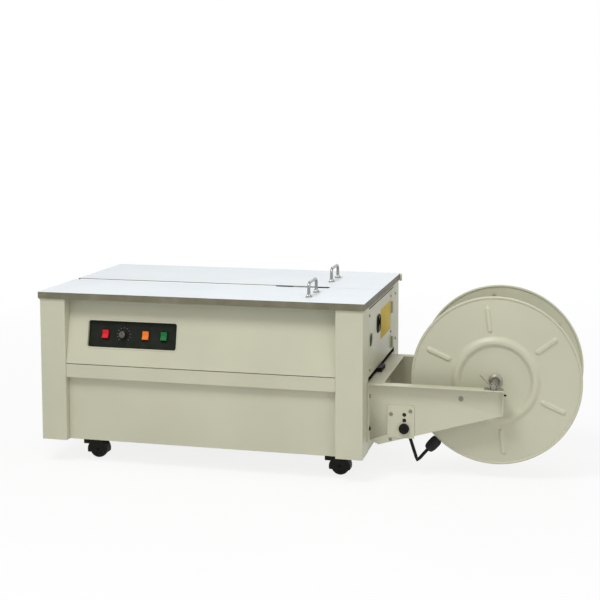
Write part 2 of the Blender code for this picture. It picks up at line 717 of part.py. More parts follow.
def caster(index, along, depth):
    """A hooded swivel caster: its fork turns on a stem, its wheel on a pin in the fork."""
    x = at_x(along)
    y = at_y(depth)
    wheel_x = x + CASTER_TRAIL
    hood_radius = WHEEL_RADIUS + HOOD_ROOM + HOOD_WALL
    half = WHEEL_WIDTH / 2 + HOOD_ROOM + HOOD_WALL
    hood = cylinder(hood_radius, (wheel_x, y - half, WHEEL_RADIUS), (0, 1, 0), 2 * half, 32)
    neck_top = FLOOR_GAP - NECK_DROP
    neck_half = half - NECK_INSET
    neck = box((x - NECK_WIDTH, wheel_x), (y - neck_half, y + neck_half), (WHEEL_RADIUS + NECK_LIFT, neck_top))
    disc_radius, disc_height = CASTER_DISC
    disc = cylinder(disc_radius, (x, y, FLOOR_GAP - disc_height), (0, 0, 1), disc_height - GAP)
    stem_top = FLOOR_GAP + BOSS_HEIGHT + STEM_OUT
    stem = cylinder(CASTER_STEM, (x, y, neck_top), (0, 0, 1), stem_top - neck_top, 16)
    join(hood, neck, disc, stem)
    cut(hood, cylinder(WHEEL_RADIUS + HOOD_ROOM, (wheel_x, y - half + HOOD_WALL, WHEEL_RADIUS), (0, 1, 0),
                       2 * (half - HOOD_WALL), 32))
    reach = hood_radius + OVER
    cut(hood, box((wheel_x - reach, wheel_x + reach), (y - reach, y + reach),
                  (-OVER, WHEEL_RADIUS - HOOD_OPEN)))
    pin_half = half - HOOD_WALL / 2
    join(hood, cylinder(CASTER_PIN, (wheel_x, y - pin_half, WHEEL_RADIUS), (0, 1, 0), 2 * pin_half, 16))
    keep(hood, f"caster_fork_{index}", BLACK, 0.45)
    wheel = cylinder(WHEEL_RADIUS, (wheel_x, y - WHEEL_WIDTH / 2, WHEEL_RADIUS), (0, 1, 0), WHEEL_WIDTH, 32)
    cut(wheel, cylinder(CASTER_PIN + RUNNING, (wheel_x, y - WHEEL_WIDTH, WHEEL_RADIUS), (0, 1, 0),
                        2 * WHEEL_WIDTH, 16))
    keep(wheel, f"caster_wheel_{index}", BLACK, 0.7)


# Reel and its bracket


def reel_arm(depth, outward):
    """A tapering bracket arm with its top edge turned outwards and a foot against the cabinet."""
    start = at_x(SIDE) + ARM_SHEET
    end = at_x(SIDE + ARM_OUT)
    low = ARM_TOP - ARM_ROOT_HEIGHT
    tip_low = ARM_TOP - ARM_TIP_HEIGHT
    outline = [(start, ARM_TOP), (start, low + ARM_CHAMFER), (at_x(SIDE + ARM_FOOT), low), (end, tip_low),
               (end, ARM_TOP)]
    middle = at_y(depth)
    arm = plate(outline, ARM_SHEET, (0, middle, 0))
    edge = sorted((middle - outward * ARM_SHEET / 2, middle + outward * ARM_FLANGE))
    join(arm, box((start, end), edge, (ARM_TOP - ARM_SHEET, ARM_TOP)))
    join(arm, box((at_x(SIDE) + GAP, start + ARM_SHEET / 2), edge, (low + ARM_CHAMFER, ARM_TOP)))
    join(arm, box((end - ARM_SHEET, end), sorted((middle, middle + outward * ARM_LIP)),
                  (tip_low + ARM_LIP_LIFT, ARM_TOP)))
    return arm


def arms():
    """The two bracket arms, the sheet between them at the cabinet and the plate for the brake pivot."""
    pivot_x = at_x(SIDE + BRAKE_OUT)
    front = reel_arm(ARM_IN, -1)
    pivot_start = (pivot_x, at_y(ARM_IN) - OVER, BRAKE_HEIGHT)
    cut(front, cylinder(BRAKE_ROD + RUNNING, pivot_start, (0, 1, 0), 2 * OVER, 16))
    keep(front, "reel_arm_front", CREAM)
    keep(reel_arm(REAR_ARM_IN, 1), "reel_arm_rear", CREAM)
    y = (at_y(ARM_IN) + ARM_SHEET / 2 + GAP, at_y(REAR_ARM_IN) - ARM_SHEET / 2 - GAP)
    start = at_x(SIDE) + GAP
    web = box((start, start + WEB_WIDTH), y, (ARM_TOP - ARM_ROOT_HEIGHT + ARM_CHAMFER, ARM_TOP))
    cut(web, box((start + ARM_SHEET, start + WEB_WIDTH + OVER), (y[0] - OVER, y[1] + OVER),
                 (0, ARM_TOP - ARM_SHEET)))
    keep(web, "bracket_web", CREAM)
    adjuster_x = at_x(SIDE + ADJUSTER_OUT)
    face = at_y(ARM_IN) - ARM_SHEET / 2 - GAP
    low = BRAKE_HEIGHT - ADJUSTER_BELOW
    adjuster = box((adjuster_x - ADJUSTER_LENGTH / 2, adjuster_x + ADJUSTER_LENGTH / 2), (face - SHEET, face),
                   (low, low + ADJUSTER_HEIGHT))
    holes = [(BRAKE_ROD + RUNNING, BRAKE_HEIGHT)]
    holes += [(ADJUSTER_HOLE, BRAKE_HEIGHT + up) for up in ADJUSTER_HOLES_UP]
    cut(adjuster, *[cylinder(radius, (pivot_x, face - OVER, height), (0, 1, 0), 2 * OVER, 16)
                    for radius, height in holes])
    keep(adjuster, "brake_plate", CREAM)


def reel_flange(name, depth, outward):
    """A pressed disc with a rolled rim and a raised ring, bored for the axle."""
    half = REEL_SHEET / 2
    rim = REEL_RADIUS - RIM_BEAD
    bead = [(rim + RIM_BEAD * cos(angle), RIM_BEAD * sin(angle))
            for angle in [pi * 5 / 6 - step * pi * 5 / 3 / 8 for step in range(9)]]
    top = [(AXLE_RADIUS + RUNNING, half), (RING_FOOT[0], half), (RING_CREST[0], RING_RAISE + half),
           (RING_CREST[1], RING_RAISE + half), (RING_FOOT[1], half)]
    bottom = [(radius, height - REEL_SHEET) for radius, height in reversed(top)]
    disc = turned(top + bead + bottom, (at_x(SIDE + REEL_OUT), at_y(depth), AXLE_Z), (0, outward, 0))
    return keep(disc, name, CREAM)


def reel():
    """The reel's two flanges and its core on one axle across the bracket, with a clamp over each end."""
    x = at_x(SIDE + REEL_OUT)
    reel_flange("reel_flange_front", REEL_FRONT_IN, -1)
    reel_flange("reel_flange_rear", REEL_REAR_IN, 1)
    length = REEL_REAR_IN - REEL_FRONT_IN - REEL_SHEET - 2 * GAP
    y = at_y(REEL_FRONT_IN) + REEL_SHEET / 2 + GAP
    middle = y + length / 2
    core = cylinder(CORE_RADIUS, (x, y, AXLE_Z), (0, 1, 0), length, 48)
    cut(core, cylinder(CORE_RADIUS - CORE_WALL, (x, y - OVER, AXLE_Z), (0, 1, 0), length + 2 * OVER, 48))
    web = cylinder(CORE_RADIUS - CORE_WALL / 2, (x, middle - CORE_WALL / 2, AXLE_Z), (0, 1, 0), CORE_WALL, 48)
    hub = cylinder(AXLE_RADIUS + HUB_WALL, (x, y, AXLE_Z), (0, 1, 0), length, 24)
    join(core, web, hub)
    cut(core, cylinder(AXLE_RADIUS + RUNNING, (x, y - OVER, AXLE_Z), (0, 1, 0), length + 2 * OVER))
    keep(core, "reel_core", CREAM)
    axle_y = (at_y(ARM_IN - ARM_FLANGE + AXLE_INSET), at_y(REAR_ARM_IN + ARM_FLANGE - AXLE_INSET))
    axle = cylinder(AXLE_RADIUS, (x, axle_y[0], AXLE_Z), (0, 1, 0), axle_y[1] - axle_y[0])
    keep(axle, "reel_axle", STEEL, 0.3, 0.9)
    axle_clamp("axle_clamp_front", at_y(ARM_IN) - ARM_FLANGE / 2)
    axle_clamp("axle_clamp_rear", at_y(REAR_ARM_IN) + ARM_FLANGE / 2)


def axle_clamp(name, middle):
    """A strip bent over the axle, with a foot each side of it on the arm's turned edge."""
    inner = AXLE_RADIUS + GAP
    outer = inner + CLAMP_SHEET
    x = at_x(SIDE + REEL_OUT)
    low = ARM_TOP + GAP
    top = low + CLAMP_SHEET
    angles = [pi - step * pi / 10 for step in range(11)]
    outline = [(x - CLAMP_FOOT, low), (x - CLAMP_FOOT, top), (x - outer, top)]
    outline += [(x + outer * cos(angle), AXLE_Z + outer * sin(angle)) for angle in angles]
    outline += [(x + outer, top), (x + CLAMP_FOOT, top), (x + CLAMP_FOOT, low), (x + inner, low)]
    outline += [(x + inner * cos(angle), AXLE_Z + inner * sin(angle)) for angle in reversed(angles)]
    outline += [(x - inner, low)]
    keep(plate(outline, CLAMP_WIDTH, (0, middle, 0)), name, STEEL, 0.3, 0.8)


def brake():
    """The lever that hangs from the front arm and the block that it presses on the reel's rim."""
    pivot = Vector((at_x(SIDE + BRAKE_OUT), at_y(ARM_IN), BRAKE_HEIGHT))
    centre = Vector((at_x(SIDE + REEL_OUT), at_y(REEL_FRONT_IN), AXLE_Z))
    radial = Vector((cos(BRAKE_ANGLE), 0, sin(BRAKE_ANGLE)))
    block_start = centre + radial * (REEL_RADIUS + 2 * GAP)
    block_end = centre + radial * (REEL_RADIUS + BLOCK_LENGTH)
    bend = pivot + Vector(LEVER_BEND)
    points = [pivot + Vector(offset) for offset in LEVER_TOP]
    points += [bend + Vector(offset) for offset in LEVER_CORNER]
    points += [block_end + radial * BRAKE_ROD, block_end - radial * ROD_IN_BLOCK]
    lever = wire(points, BRAKE_ROD)
    cap_radius, cap_length = BRAKE_CAP
    cap_start = pivot + Vector((0, -ARM_SHEET / 2 - SHEET - 2 * GAP, 0))
    join(lever, cylinder(cap_radius, cap_start, (0, -1, 0), cap_length, 24))
    move_origin(keep(lever, "brake_lever", BLACK, 0.4), pivot)
    block = local_box((GAP - BLOCK_LENGTH / 2, BLOCK_LENGTH / 2 - GAP), (-BLOCK_WIDTH / 2, BLOCK_WIDTH / 2),
                      (-BLOCK_THICK / 2, BLOCK_THICK / 2))
    block.rotation_euler = (0, -BRAKE_ANGLE, 0)
    block.location = (block_start + block_end) / 2
    rim_start = centre - Vector((0, BLOCK_WIDTH, 0))
    cut(block, cylinder(REEL_RADIUS + 2 * GAP, rim_start, (0, 1, 0), 2 * BLOCK_WIDTH, 96))
    cut(block, wire([block_end + radial * OVER, block_end - radial * (ROD_IN_BLOCK + GAP)], BRAKE_ROD + GAP))
    keep(block, "brake_block", BLACK, 0.8)


# Strapping head and drive


def head_frame():
    """The upright box that guides the presses and carries the cam shaft, standing on the base tray."""
    x = (at_x(HEAD_START), at_x(HEAD_START + HEAD_LENGTH))
    half = PRESS_WIDTH / 2 + GAP
    middle = at_y(SLOT_IN)
    through = (middle - half - HEAD_WALL - OVER, middle + half + HEAD_WALL + OVER)
    top = TOP - CHANNEL_DROP - CHANNEL_DEPTH - HEAD_HEADROOM
    frame = box(x, (middle - half - HEAD_WALL, middle + half + HEAD_WALL), (TRAY_TOP + GAP, top))
    cut(frame, box((x[0] + HEAD_WALL, x[1] - HEAD_WALL), (middle - half, middle + half), (0, TOP)))
    window = CAM_RADIUS + CAM_THROW + WINDOW_ROOM
    window_x = (x[0] + HEAD_POST, x[1] - HEAD_POST)
    cut(frame, box(window_x, through, (CAM_Z - window, CAM_Z + window)))
    cut(frame, box(window_x, through, (TRAY_TOP + HEAD_POST, CAM_Z - WINDOW_BRIDGE)))
    cut(frame, cylinder(CAM_SHAFT + RUNNING, (x[0] - OVER, middle, CAM_Z), (1, 0, 0), HEAD_LENGTH + 2 * OVER))
    return keep(frame, "head_frame", FRAME_GREY, 0.5, 0.5)


def presses():
    """The three presses that grip, hold and weld the strap, each with a grooved top."""
    y = at_y(SLOT_IN)
    width = (y - PRESS_WIDTH / 2, y + PRESS_WIDTH / 2)
    top = TOP - PRESS_DROP
    for name, on in zip(("press_left", "press_centre", "press_right"), PRESS_ON):
        x = at_x(HEAD_START + on)
        press = box((x - PRESS_THICK / 2, x + PRESS_THICK / 2), width, (top - PRESS_LENGTH, top))
        places = [x + step * GROOVE_PITCH for step in range(-2, 3)]
        cut(press, *[box((place - GROOVE_WIDTH / 2, place + GROOVE_WIDTH / 2),
                         (width[0] - OVER, width[1] + OVER), (top - GROOVE_DEPTH, top + OVER))
                     for place in places])
        keep(press, name, STEEL, 0.35, 0.9)


def slide_plate():
    """The thin anvil in the slot, over the presses."""
    y = at_y(SLOT_IN)
    half = SLOT_WIDTH / 2 - 2 * GAP
    slide = box(tuple(at_x(HEAD_START + on) for on in SLIDE_ON), (y - half, y + half),
                tuple(TOP - drop for drop in SLIDE_DROP))
    return keep(slide, "slide_plate", STEEL, 0.25, 0.9)


def heater_blade():
    """The flat heating blade on its arm, parked behind the slot."""
    arm_width, arm_height = BLADE_ARM
    wall = at_x(HEAD_START + HEAD_LENGTH) + GAP
    near = at_y(SLOT_IN + SLOT_WIDTH / 2 + BLADE_CLEAR)
    y = (near, near + BLADE_WIDTH)
    blade_z = tuple(TOP - drop for drop in BLADE_DROP)
    blade = box((at_x(HEAD_START + BLADE_ON), wall + arm_width), y, blade_z)
    join(blade, box((wall, wall + arm_width), y, (TOP - arm_height, blade_z[1] - GAP)))
    foot_reach, foot_height = BLADE_FOOT
    join(blade, box((wall, wall + arm_width), (at_y(SLOT_IN) - foot_reach, y[1]),
                    (TOP - arm_height, TOP - arm_height + foot_height)))
    return keep(blade, "heater_blade", (0.55, 0.50, 0.42), 0.4, 0.9)


def cam_shaft():
    """The shaft under the presses with one offset cam for each and a pulley on its left end."""
    y = at_y(SLOT_IN)
    start = at_x(BELT_ALONG) - BELT_WIDTH
    end = at_x(HEAD_START + HEAD_LENGTH + SHAFT_OUT)
    shaft = cylinder(CAM_SHAFT, (start, y, CAM_Z), (1, 0, 0), end - start)
    for index, on in enumerate(PRESS_ON):
        turn = index * 2 * pi / 3
        centre = (at_x(HEAD_START + on) - CAM_THICK / 2, y + CAM_THROW * cos(turn),
                  CAM_Z + CAM_THROW * sin(turn))
        join(shaft, cylinder(CAM_RADIUS, centre, (1, 0, 0), CAM_THICK, 24))
    pulley_start = (at_x(BELT_ALONG) - PULLEY_WIDTH / 2, y, CAM_Z)
    join(shaft, cylinder(CAM_PULLEY, pulley_start, (1, 0, 0), PULLEY_WIDTH, 32))
    return keep(shaft, "cam_shaft", STEEL, 0.4, 0.8)


def drive():
    """The motor on the base tray, its pulley and the belt up to the cam shaft."""
    y = at_y(SLOT_IN)
    end = at_x(BELT_ALONG - BELT_BACK)
    motor = cylinder(MOTOR_RADIUS, (end - MOTOR_LENGTH, y, MOTOR_Z), (1, 0, 0), MOTOR_LENGTH, 32)
    join(motor, box((end - MOTOR_LENGTH + MOTOR_FOOT, end - MOTOR_FOOT), (y - MOTOR_RADIUS, y + MOTOR_RADIUS),
                    (TRAY_TOP + GAP, MOTOR_Z - MOTOR_RADIUS * 2 / 3)))
    cut(motor, cylinder(MOTOR_SHAFT + RUNNING, (end - MOTOR_BORE, y, MOTOR_Z), (1, 0, 0), MOTOR_BORE + OVER))
    keep(motor, "motor", (0.10, 0.14, 0.17), 0.5, 0.3)
    middle = at_x(BELT_ALONG)
    pulley = cylinder(MOTOR_PULLEY, (middle - PULLEY_WIDTH / 2, y, MOTOR_Z), (1, 0, 0), PULLEY_WIDTH, 32)
    start = end - MOTOR_BORE + SHAFT_INSET
    join(pulley, cylinder(MOTOR_SHAFT, (start, y, MOTOR_Z), (1, 0, 0), middle - start, 16))
    keep(pulley, "motor_pulley", FRAME_GREY, 0.4, 0.8)
    rise = CAM_Z - MOTOR_Z
    inner = belt_outline(MOTOR_PULLEY + GAP, CAM_PULLEY + GAP, rise)
    outer = belt_outline(MOTOR_PULLEY + GAP + BELT_THICK, CAM_PULLEY + GAP + BELT_THICK, rise)
    belt = plate(outer, BELT_WIDTH, (middle, y, MOTOR_Z), (pi / 2, 0, pi / 2), (inner,))
    keep(belt, "drive_belt", BLACK, 0.8)


def belt_outline(low_radius, high_radius, distance, steps=16):
    """A taut loop round two pulleys, the first at the origin and the second straight above it."""
    lean = asin((high_radius - low_radius) / distance)
    points = []
    for radius, centre, start, stop in ((high_radius, distance, -lean, pi + lean),
                                        (low_radius, 0.0, pi + lean, 2 * pi - lean)):
        angles = [start + (stop - start) * step / steps for step in range(steps + 1)]
        points += [(radius * cos(angle), centre + radius * sin(angle)) for angle in angles]
    return points


def feed():
    """Two rollers that pull the strap off the reel, on pins in an upright plate."""
    x = at_x(SIDE - FEED_IN)
    width, thick, foot = FEED_PLATE
    wall = at_y(SLOT_IN + BLADE_CLEAR + SLOT_WIDTH / 2)
    sides = (x - width / 2, x + width / 2)
    pinch_height = FEED_HEIGHT + FEED_RADIUS + NIP + PINCH_RADIUS
    upright = box(sides, (wall, wall + thick), (TRAY_TOP + GAP, pinch_height + 2 * PINCH_RADIUS))
    join(upright, box(sides, (wall, wall + foot), (TRAY_TOP + GAP, TRAY_TOP + thick)))
    for name, radius, height in (("feed_roller", FEED_RADIUS, FEED_HEIGHT),
                                 ("pinch_roller", PINCH_RADIUS, pinch_height)):
        roller_y = wall - ROLLER_GAP - ROLLER_WIDTH
        join(upright, cylinder(ROLLER_PIN, (x, roller_y - ROLLER_GAP, height), (0, 1, 0),
                               ROLLER_WIDTH + 2 * ROLLER_GAP + thick / 2, 16))
        roller = cylinder(radius, (x, roller_y, height), (0, 1, 0), ROLLER_WIDTH, 32)
        cut(roller, cylinder(ROLLER_PIN + RUNNING, (x, roller_y - OVER, height), (0, 1, 0),
                             ROLLER_WIDTH + 2 * OVER, 16))
        keep(roller, name, BLACK, 0.8)
    keep(upright, "feed_bracket", FRAME_GREY, 0.5, 0.5)


def floor_box(along, depth, height):
    """A block standing on the base tray, clear of it by the still gap."""
    return box(tuple(map(at_x, along)), tuple(map(at_y, depth)), (TRAY_TOP + GAP, TRAY_TOP + height))


def electrics():
    """The heater's transformer and the box that holds the control board."""
    along, depth, height = TRANSFORMER
    reach, drop = TRANSFORMER_COIL
    transformer = floor_box(along, depth, height)
    join(transformer, box((at_x(along[0] + reach), at_x(along[1] - reach)),
                          (at_y(depth[0] - reach), at_y(depth[1] + reach)),
                          (TRAY_TOP + drop, TRAY_TOP + height - drop)))
    keep(transformer, "transformer", (0.30, 0.16, 0.06), 0.6, 0.2)
    keep(floor_box(*CONTROL_BOX), "control_box", (0.30, 0.31, 0.32), 0.6)


def build():
    """Makes every sub-part, the machine's left side first."""
    for name, right, rear in (("leg_front_left", False, False), ("leg_front_right", True, False),
                              ("leg_rear_left", False, True), ("leg_rear_right", True, True)):
        leg(name, right, rear)
    base_tray()
    front_rail()
    front_upper_panel()
    panels()
    strap_inlet()
    control_panel()
    for name, (along, colour) in CONTROLS.items():
        if name.endswith("switch"):
            rocker(name, along, colour)
    tension_knob()
    table_leaf("table_leaf_front", False)
    table_leaf("table_leaf_rear", True)
    table_hinge("table_hinge_front", False)
    table_hinge("table_hinge_rear", True)
    strap_channel()
    handle("handle_front", FRONT_HANDLE_IN)
    handle("handle_rear", REAR_HANDLE_IN)
    for index, (along, depth) in enumerate(caster_places(), 1):
        caster(index, along, depth)
    arms()
    reel()
    brake()
    head_frame()
    presses()
    slide_plate()
    heater_blade()
    cam_shaft()
    drive()
    feed()
    electrics()
    bpy.context.view_layer.update()


build()
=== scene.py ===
"""Looks of the low-table strapping machine: finishes, reel, controls, fasteners, lamps and camera."""
import json
from math import cos, pi, radians, sin

import bmesh
import bpy
import numpy as np
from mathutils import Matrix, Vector


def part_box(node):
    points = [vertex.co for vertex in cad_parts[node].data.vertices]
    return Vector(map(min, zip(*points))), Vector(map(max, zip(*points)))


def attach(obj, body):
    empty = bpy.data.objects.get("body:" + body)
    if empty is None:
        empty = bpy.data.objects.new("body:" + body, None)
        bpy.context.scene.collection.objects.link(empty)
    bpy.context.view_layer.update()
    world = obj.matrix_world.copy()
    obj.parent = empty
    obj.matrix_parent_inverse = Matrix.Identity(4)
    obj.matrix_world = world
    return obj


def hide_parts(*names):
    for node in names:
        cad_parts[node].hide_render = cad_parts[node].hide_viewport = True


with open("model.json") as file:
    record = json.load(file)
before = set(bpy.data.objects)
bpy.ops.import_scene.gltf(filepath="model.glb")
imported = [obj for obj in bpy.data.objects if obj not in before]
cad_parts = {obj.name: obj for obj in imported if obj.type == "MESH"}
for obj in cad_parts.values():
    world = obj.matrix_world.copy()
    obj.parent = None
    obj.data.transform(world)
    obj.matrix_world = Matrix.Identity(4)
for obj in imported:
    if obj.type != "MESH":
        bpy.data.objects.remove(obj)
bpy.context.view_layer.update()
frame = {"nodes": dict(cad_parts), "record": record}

NODES = frame["nodes"]
RECORD = frame["record"]
BODY_OF = {node: body for body, members in RECORD["behaviour"]["bodies"].items() for node in members}
SLOT_OF = {part["node"]: part["material_slot"] for part in RECORD["subparts"]}
JOINT = {joint["name"]: joint for joint in RECORD["behaviour"]["joints"]}

# ---------------------------------------------------------------- places read from the frame
TABLE_LOW, TABLE_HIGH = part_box("table_leaf_front")
REAR_LOW, REAR_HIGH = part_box("table_leaf_rear")
TOP_Z = TABLE_HIGH.z
LEFT_X, RIGHT_X = REAR_LOW.x, REAR_HIGH.x
FRONT_Y, BACK_Y = TABLE_LOW.y, REAR_HIGH.y
SIDE_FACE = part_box("side_cover")[1].x
ARM_LOW, ARM_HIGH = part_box("reel_arm_front")
REAR_ARM_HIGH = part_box("reel_arm_rear")[1]
PANEL_NORMAL = Vector(JOINT["tension_turn"]["axis"])
PANEL_UP = Vector((0, PANEL_NORMAL.z, -PANEL_NORMAL.y))
KNOB_CENTRE = Vector(JOINT["tension_turn"]["pos_m"])
AXLE = Vector(JOINT["reel_spin"]["pos_m"])


# ---------------------------------------------------------------- materials
class Finish:
    """A Principled material whose colour, roughness and relief come from noise in object space."""

    def __init__(self, name, roughness, metallic=0.0, **sockets):
        self.material = bpy.data.materials.new(name)
        self.material.use_nodes = True
        self.tree = self.material.node_tree
        self.shader = self.tree.nodes["Principled BSDF"]
        self.shader.inputs["Roughness"].default_value = roughness
        self.shader.inputs["Metallic"].default_value = metallic
        for socket, value in sockets.items():
            self.shader.inputs[socket.replace("_", " ")].default_value = value
        self.place = self.add("TexCoord").outputs["Object"]

    def add(self, kind, **values):
        """A new shader node, each value set as its property or, failing that, as its input."""
        node = self.tree.nodes.new("ShaderNode" + kind)
        for key, value in values.items():
            if hasattr(node, key):
                setattr(node, key, value)
            else:
                node.inputs[key.replace("_", " ")].default_value = value
        return node

    def link(self, source, target):
        """Joins an output to an input."""
        self.tree.links.new(source, target)

    def stretched(self, scale):
        """Object coordinates scaled differently on each axis, for brushed or moulded grain."""
        mapping = self.add("Mapping")
        mapping.inputs["Scale"].default_value = scale
        self.link(self.place, mapping.inputs["Vector"])
        return mapping.outputs["Vector"]

    def noise(self, scale, detail=4.0, place=None):
        """Fractal noise at so many cells a metre, over object coordinates unless a place is given."""
        node = self.add("TexNoise", Scale=scale, Detail=detail)
        self.link(place or self.place, node.inputs["Vector"])
        return node.outputs["Fac"]

    def remap(self, value, low, high, start=0.0, stop=1.0):
        """A value's span from low to high stretched over start to stop, and held there."""
        node = self.add("MapRange")
        for socket, number in (("From Min", low), ("From Max", high), ("To Min", start), ("To Max", stop)):
            node.inputs[socket].default_value = number
        self.link(value, node.inputs["Value"])
        return node.outputs["Result"]

    def mix(self, factor, first, second):
        """Two colours, each a tuple or an output, blended by a factor."""
        node = self.add("Mix", data_type="RGBA")
        colours = [socket for socket in node.inputs if socket.type == "RGBA"]
        self.link(factor, node.inputs[0])
        for socket, colour in zip(colours, (first, second)):
            if isinstance(colour, tuple):
                socket.default_value = (*colour, 1.0)
            else:
                self.link(colour, socket)
        return next(socket for socket in node.outputs if socket.type == "RGBA")

    def colour(self, socket):
        """Takes the base colour from an output."""
        self.link(socket, self.shader.inputs["Base Color"])

    def roughness(self, socket):
        """Takes the roughness from an output."""
        self.link(socket, self.shader.inputs["Roughness"])

    def relief(self, height, strength, distance, after=None):
        """Bumps the surface by a height, on top of an earlier relief where one is given."""
        node = self.add("Bump", Strength=strength, Distance=distance)
        self.link(height, node.inputs["Height"])
        if after:
            self.link(after, node.inputs["Normal"])
        self.link(node.outputs["Normal"], self.shader.inputs["Normal"])
        return node.outputs["Normal"]


def shade(colour, factor):
    """A colour made lighter or darker by a factor."""
    return tuple(min(1.0, channel * factor) for channel in colour)


def enamel(name, colour, roughness=0.42, spread=0.05, specular=0.5):
    """Sprayed enamel: orange-peel relief, slow drift in shade and a little dust in the gloss."""
    finish = Finish(name, roughness, Specular_IOR_Level=specular)
    drift = finish.noise(3.5, 5.0)
    base = finish.mix(finish.remap(drift, 0.3, 0.7), shade(colour, 1 - spread), shade(colour, 1 + spread))
    specks = finish.remap(finish.noise(240.0, 2.0), 0.70, 0.78)
    finish.colour(finish.mix(specks, base, shade(colour, 0.86)))
    finish.roughness(finish.remap(finish.noise(14.0, 6.0), 0.3, 0.7, roughness - 0.06, roughness + 0.08))
    coarse = finish.relief(finish.noise(420.0, 2.0), 0.10, 0.0004)
    finish.relief(finish.noise(1600.0, 1.0), 0.04, 0.0001, coarse)
    return finish.material


def brushed(name, colour, roughness, metallic, grain, spread=0.06):
    """Brushed or ground metal: long streaks along one axis, faint smears across them."""
    finish = Finish(name, roughness, metallic)
    streaks = finish.noise(1.0, 6.0, finish.stretched(grain))
    smear = finish.noise(6.0, 4.0)
    base = finish.mix(finish.remap(streaks, 0.3, 0.7), shade(colour, 1 - spread), shade(colour, 1 + spread))
    finish.colour(finish.mix(finish.remap(smear, 0.45, 0.8), base, shade(colour, 0.93)))
    finish.roughness(finish.remap(streaks, 0.3, 0.7, roughness - 0.05, roughness + 0.08))
    finish.relief(streaks, 0.05, 0.0002)
    return finish.material


def moulded(name, colour, roughness, grain=900.0, strength=0.12, specular=0.5):
    """Moulded plastic or rubber with a fine pebbled grain."""
    finish = Finish(name, roughness, Specular_IOR_Level=specular)
    drift = finish.remap(finish.noise(22.0, 4.0), 0.35, 0.7)
    finish.colour(finish.mix(drift, colour, tuple(c * 1.25 + 0.004 for c in colour)))
    finish.roughness(finish.remap(finish.noise(60.0), 0.3, 0.7, roughness - 0.05, roughness + 0.07))
    finish.relief(finish.noise(grain, 2.0), strength, 0.0002)
    return finish.material


def table_finish():
    """Satin steel sheet: pale on its flat faces, its turned-down edges dull brown-grey, which is painted
    reflection and shade.
    """
    finish = Finish("table_sheet", 0.50, 0.06, Specular_IOR_Level=0.14)
    # Painted reflection and shade: faces turned away from up (the turned-down edges) are painted dull
    # brown-grey for the dark reflection and shade they show; flat faces keep the pale sheet colour.
    parts = finish.add("SeparateXYZ")
    finish.link(finish.add("TexCoord").outputs["Normal"], parts.inputs["Vector"])
    upright = finish.add("Math", operation="ABSOLUTE")
    finish.link(parts.outputs["Z"], upright.inputs[0])
    painted_edge_shade_mask = finish.remap(upright.outputs["Value"], 0.55, 0.85)
    streaks = finish.noise(1.0, 6.0, finish.stretched((7.0, 260.0, 7.0)))
    cloud = finish.noise(5.0, 5.0)
    top = finish.mix(finish.remap(streaks, 0.3, 0.7), (0.726, 0.770, 0.796), (0.771, 0.811, 0.834))
    top = finish.mix(finish.remap(cloud, 0.42, 0.75), top, (0.697, 0.744, 0.774))
    patches = finish.remap(finish.noise(30.0), 0.35, 0.7)
    edge = finish.mix(patches, (0.155, 0.146, 0.097), (0.200, 0.190, 0.134))
    finish.colour(finish.mix(painted_edge_shade_mask, edge, top))
    finish.roughness(finish.remap(streaks, 0.3, 0.7, 0.45, 0.58))
    finish.relief(streaks, 0.04, 0.0002)
    return finish.material


CREAM = (0.520, 0.513, 0.386)
FINISHES = {
    "cream_paint": enamel("cream_enamel", CREAM),
    "table_steel": table_finish(),
    "channel_steel": brushed("channel_sheet", (0.88, 0.90, 0.90), 0.42, 0.1, (6.0, 300.0, 300.0)),
    "zinc_steel": brushed("zinc_plate", (0.27, 0.262, 0.216), 0.44, 0.8, (60.0, 60.0, 400.0)),
    "chrome": brushed("handle_chrome", (0.30, 0.303, 0.292), 0.20, 1.0, (200.0, 200.0, 200.0), 0.03),
    "black_plastic": moulded("black_moulding", (0.010, 0.010, 0.008), 0.48, specular=0.12),
    "red_plastic": moulded("red_key", (0.54, 0.007, 0.014), 0.30, 300.0, 0.02, 0.25),
    "orange_plastic": moulded("orange_key", (0.70, 0.156, 0.016), 0.30, 300.0, 0.02, 0.25),
    "green_plastic": moulded("green_key", (0.002, 0.126, 0.026), 0.30, 300.0, 0.02, 0.25),
    "black_steel": enamel("black_enamel", (0.009, 0.009, 0.007), 0.45, 0.2, 0.12),
    "rubber": moulded("rubber", (0.013, 0.013, 0.012), 0.72, 700.0, 0.25, 0.25),
    "machine_grey": enamel("grey_enamel", (0.36, 0.37, 0.37), 0.45),
    "tool_steel": brushed("ground_steel", (0.16, 0.155, 0.145), 0.42, 0.85, (300.0, 20.0, 300.0)),
    "motor_paint": enamel("motor_enamel", (0.090, 0.126, 0.150), 0.42, 0.12),
    "transformer_core": enamel("varnished_core", (0.276, 0.138, 0.054), 0.5, 0.15),
}


def control_face():
    """Dark printed control plate, slightly green, with a fine matt grain."""
    finish = Finish("control_face", 0.62, Specular_IOR_Level=0.12)
    mottle = finish.remap(finish.noise(45.0, 5.0), 0.35, 0.7)
    finish.colour(finish.mix(mottle, (0.011, 0.014, 0.009), (0.017, 0.020, 0.014)))
    finish.relief(finish.noise(1400.0, 2.0), 0.15, 0.0001)
    return finish.material


def label_finish():
    """Bare yellow vinyl, faintly mottled and rubbed."""
    finish = Finish("yellow_vinyl", 0.62, Specular_IOR_Level=0.18)
    rubbed = finish.remap(finish.noise(40.0, 6.0), 0.45, 0.75)
    finish.colour(finish.mix(rubbed, (0.625, 0.452, 0.044), (0.560, 0.408, 0.062)))
    finish.relief(finish.noise(180.0, 3.0), 0.12, 0.0002)
    return finish.material


def dark_hollow(name, colour):
    """Matt dark colour laid in a recess, hole or gap as painted shade; on the cover's seam it draws the dark
    joint.
    """
    finish = Finish(name, 0.85)
    finish.colour(finish.mix(finish.noise(60.0), colour, shade(colour, 1.6)))
    return finish.material


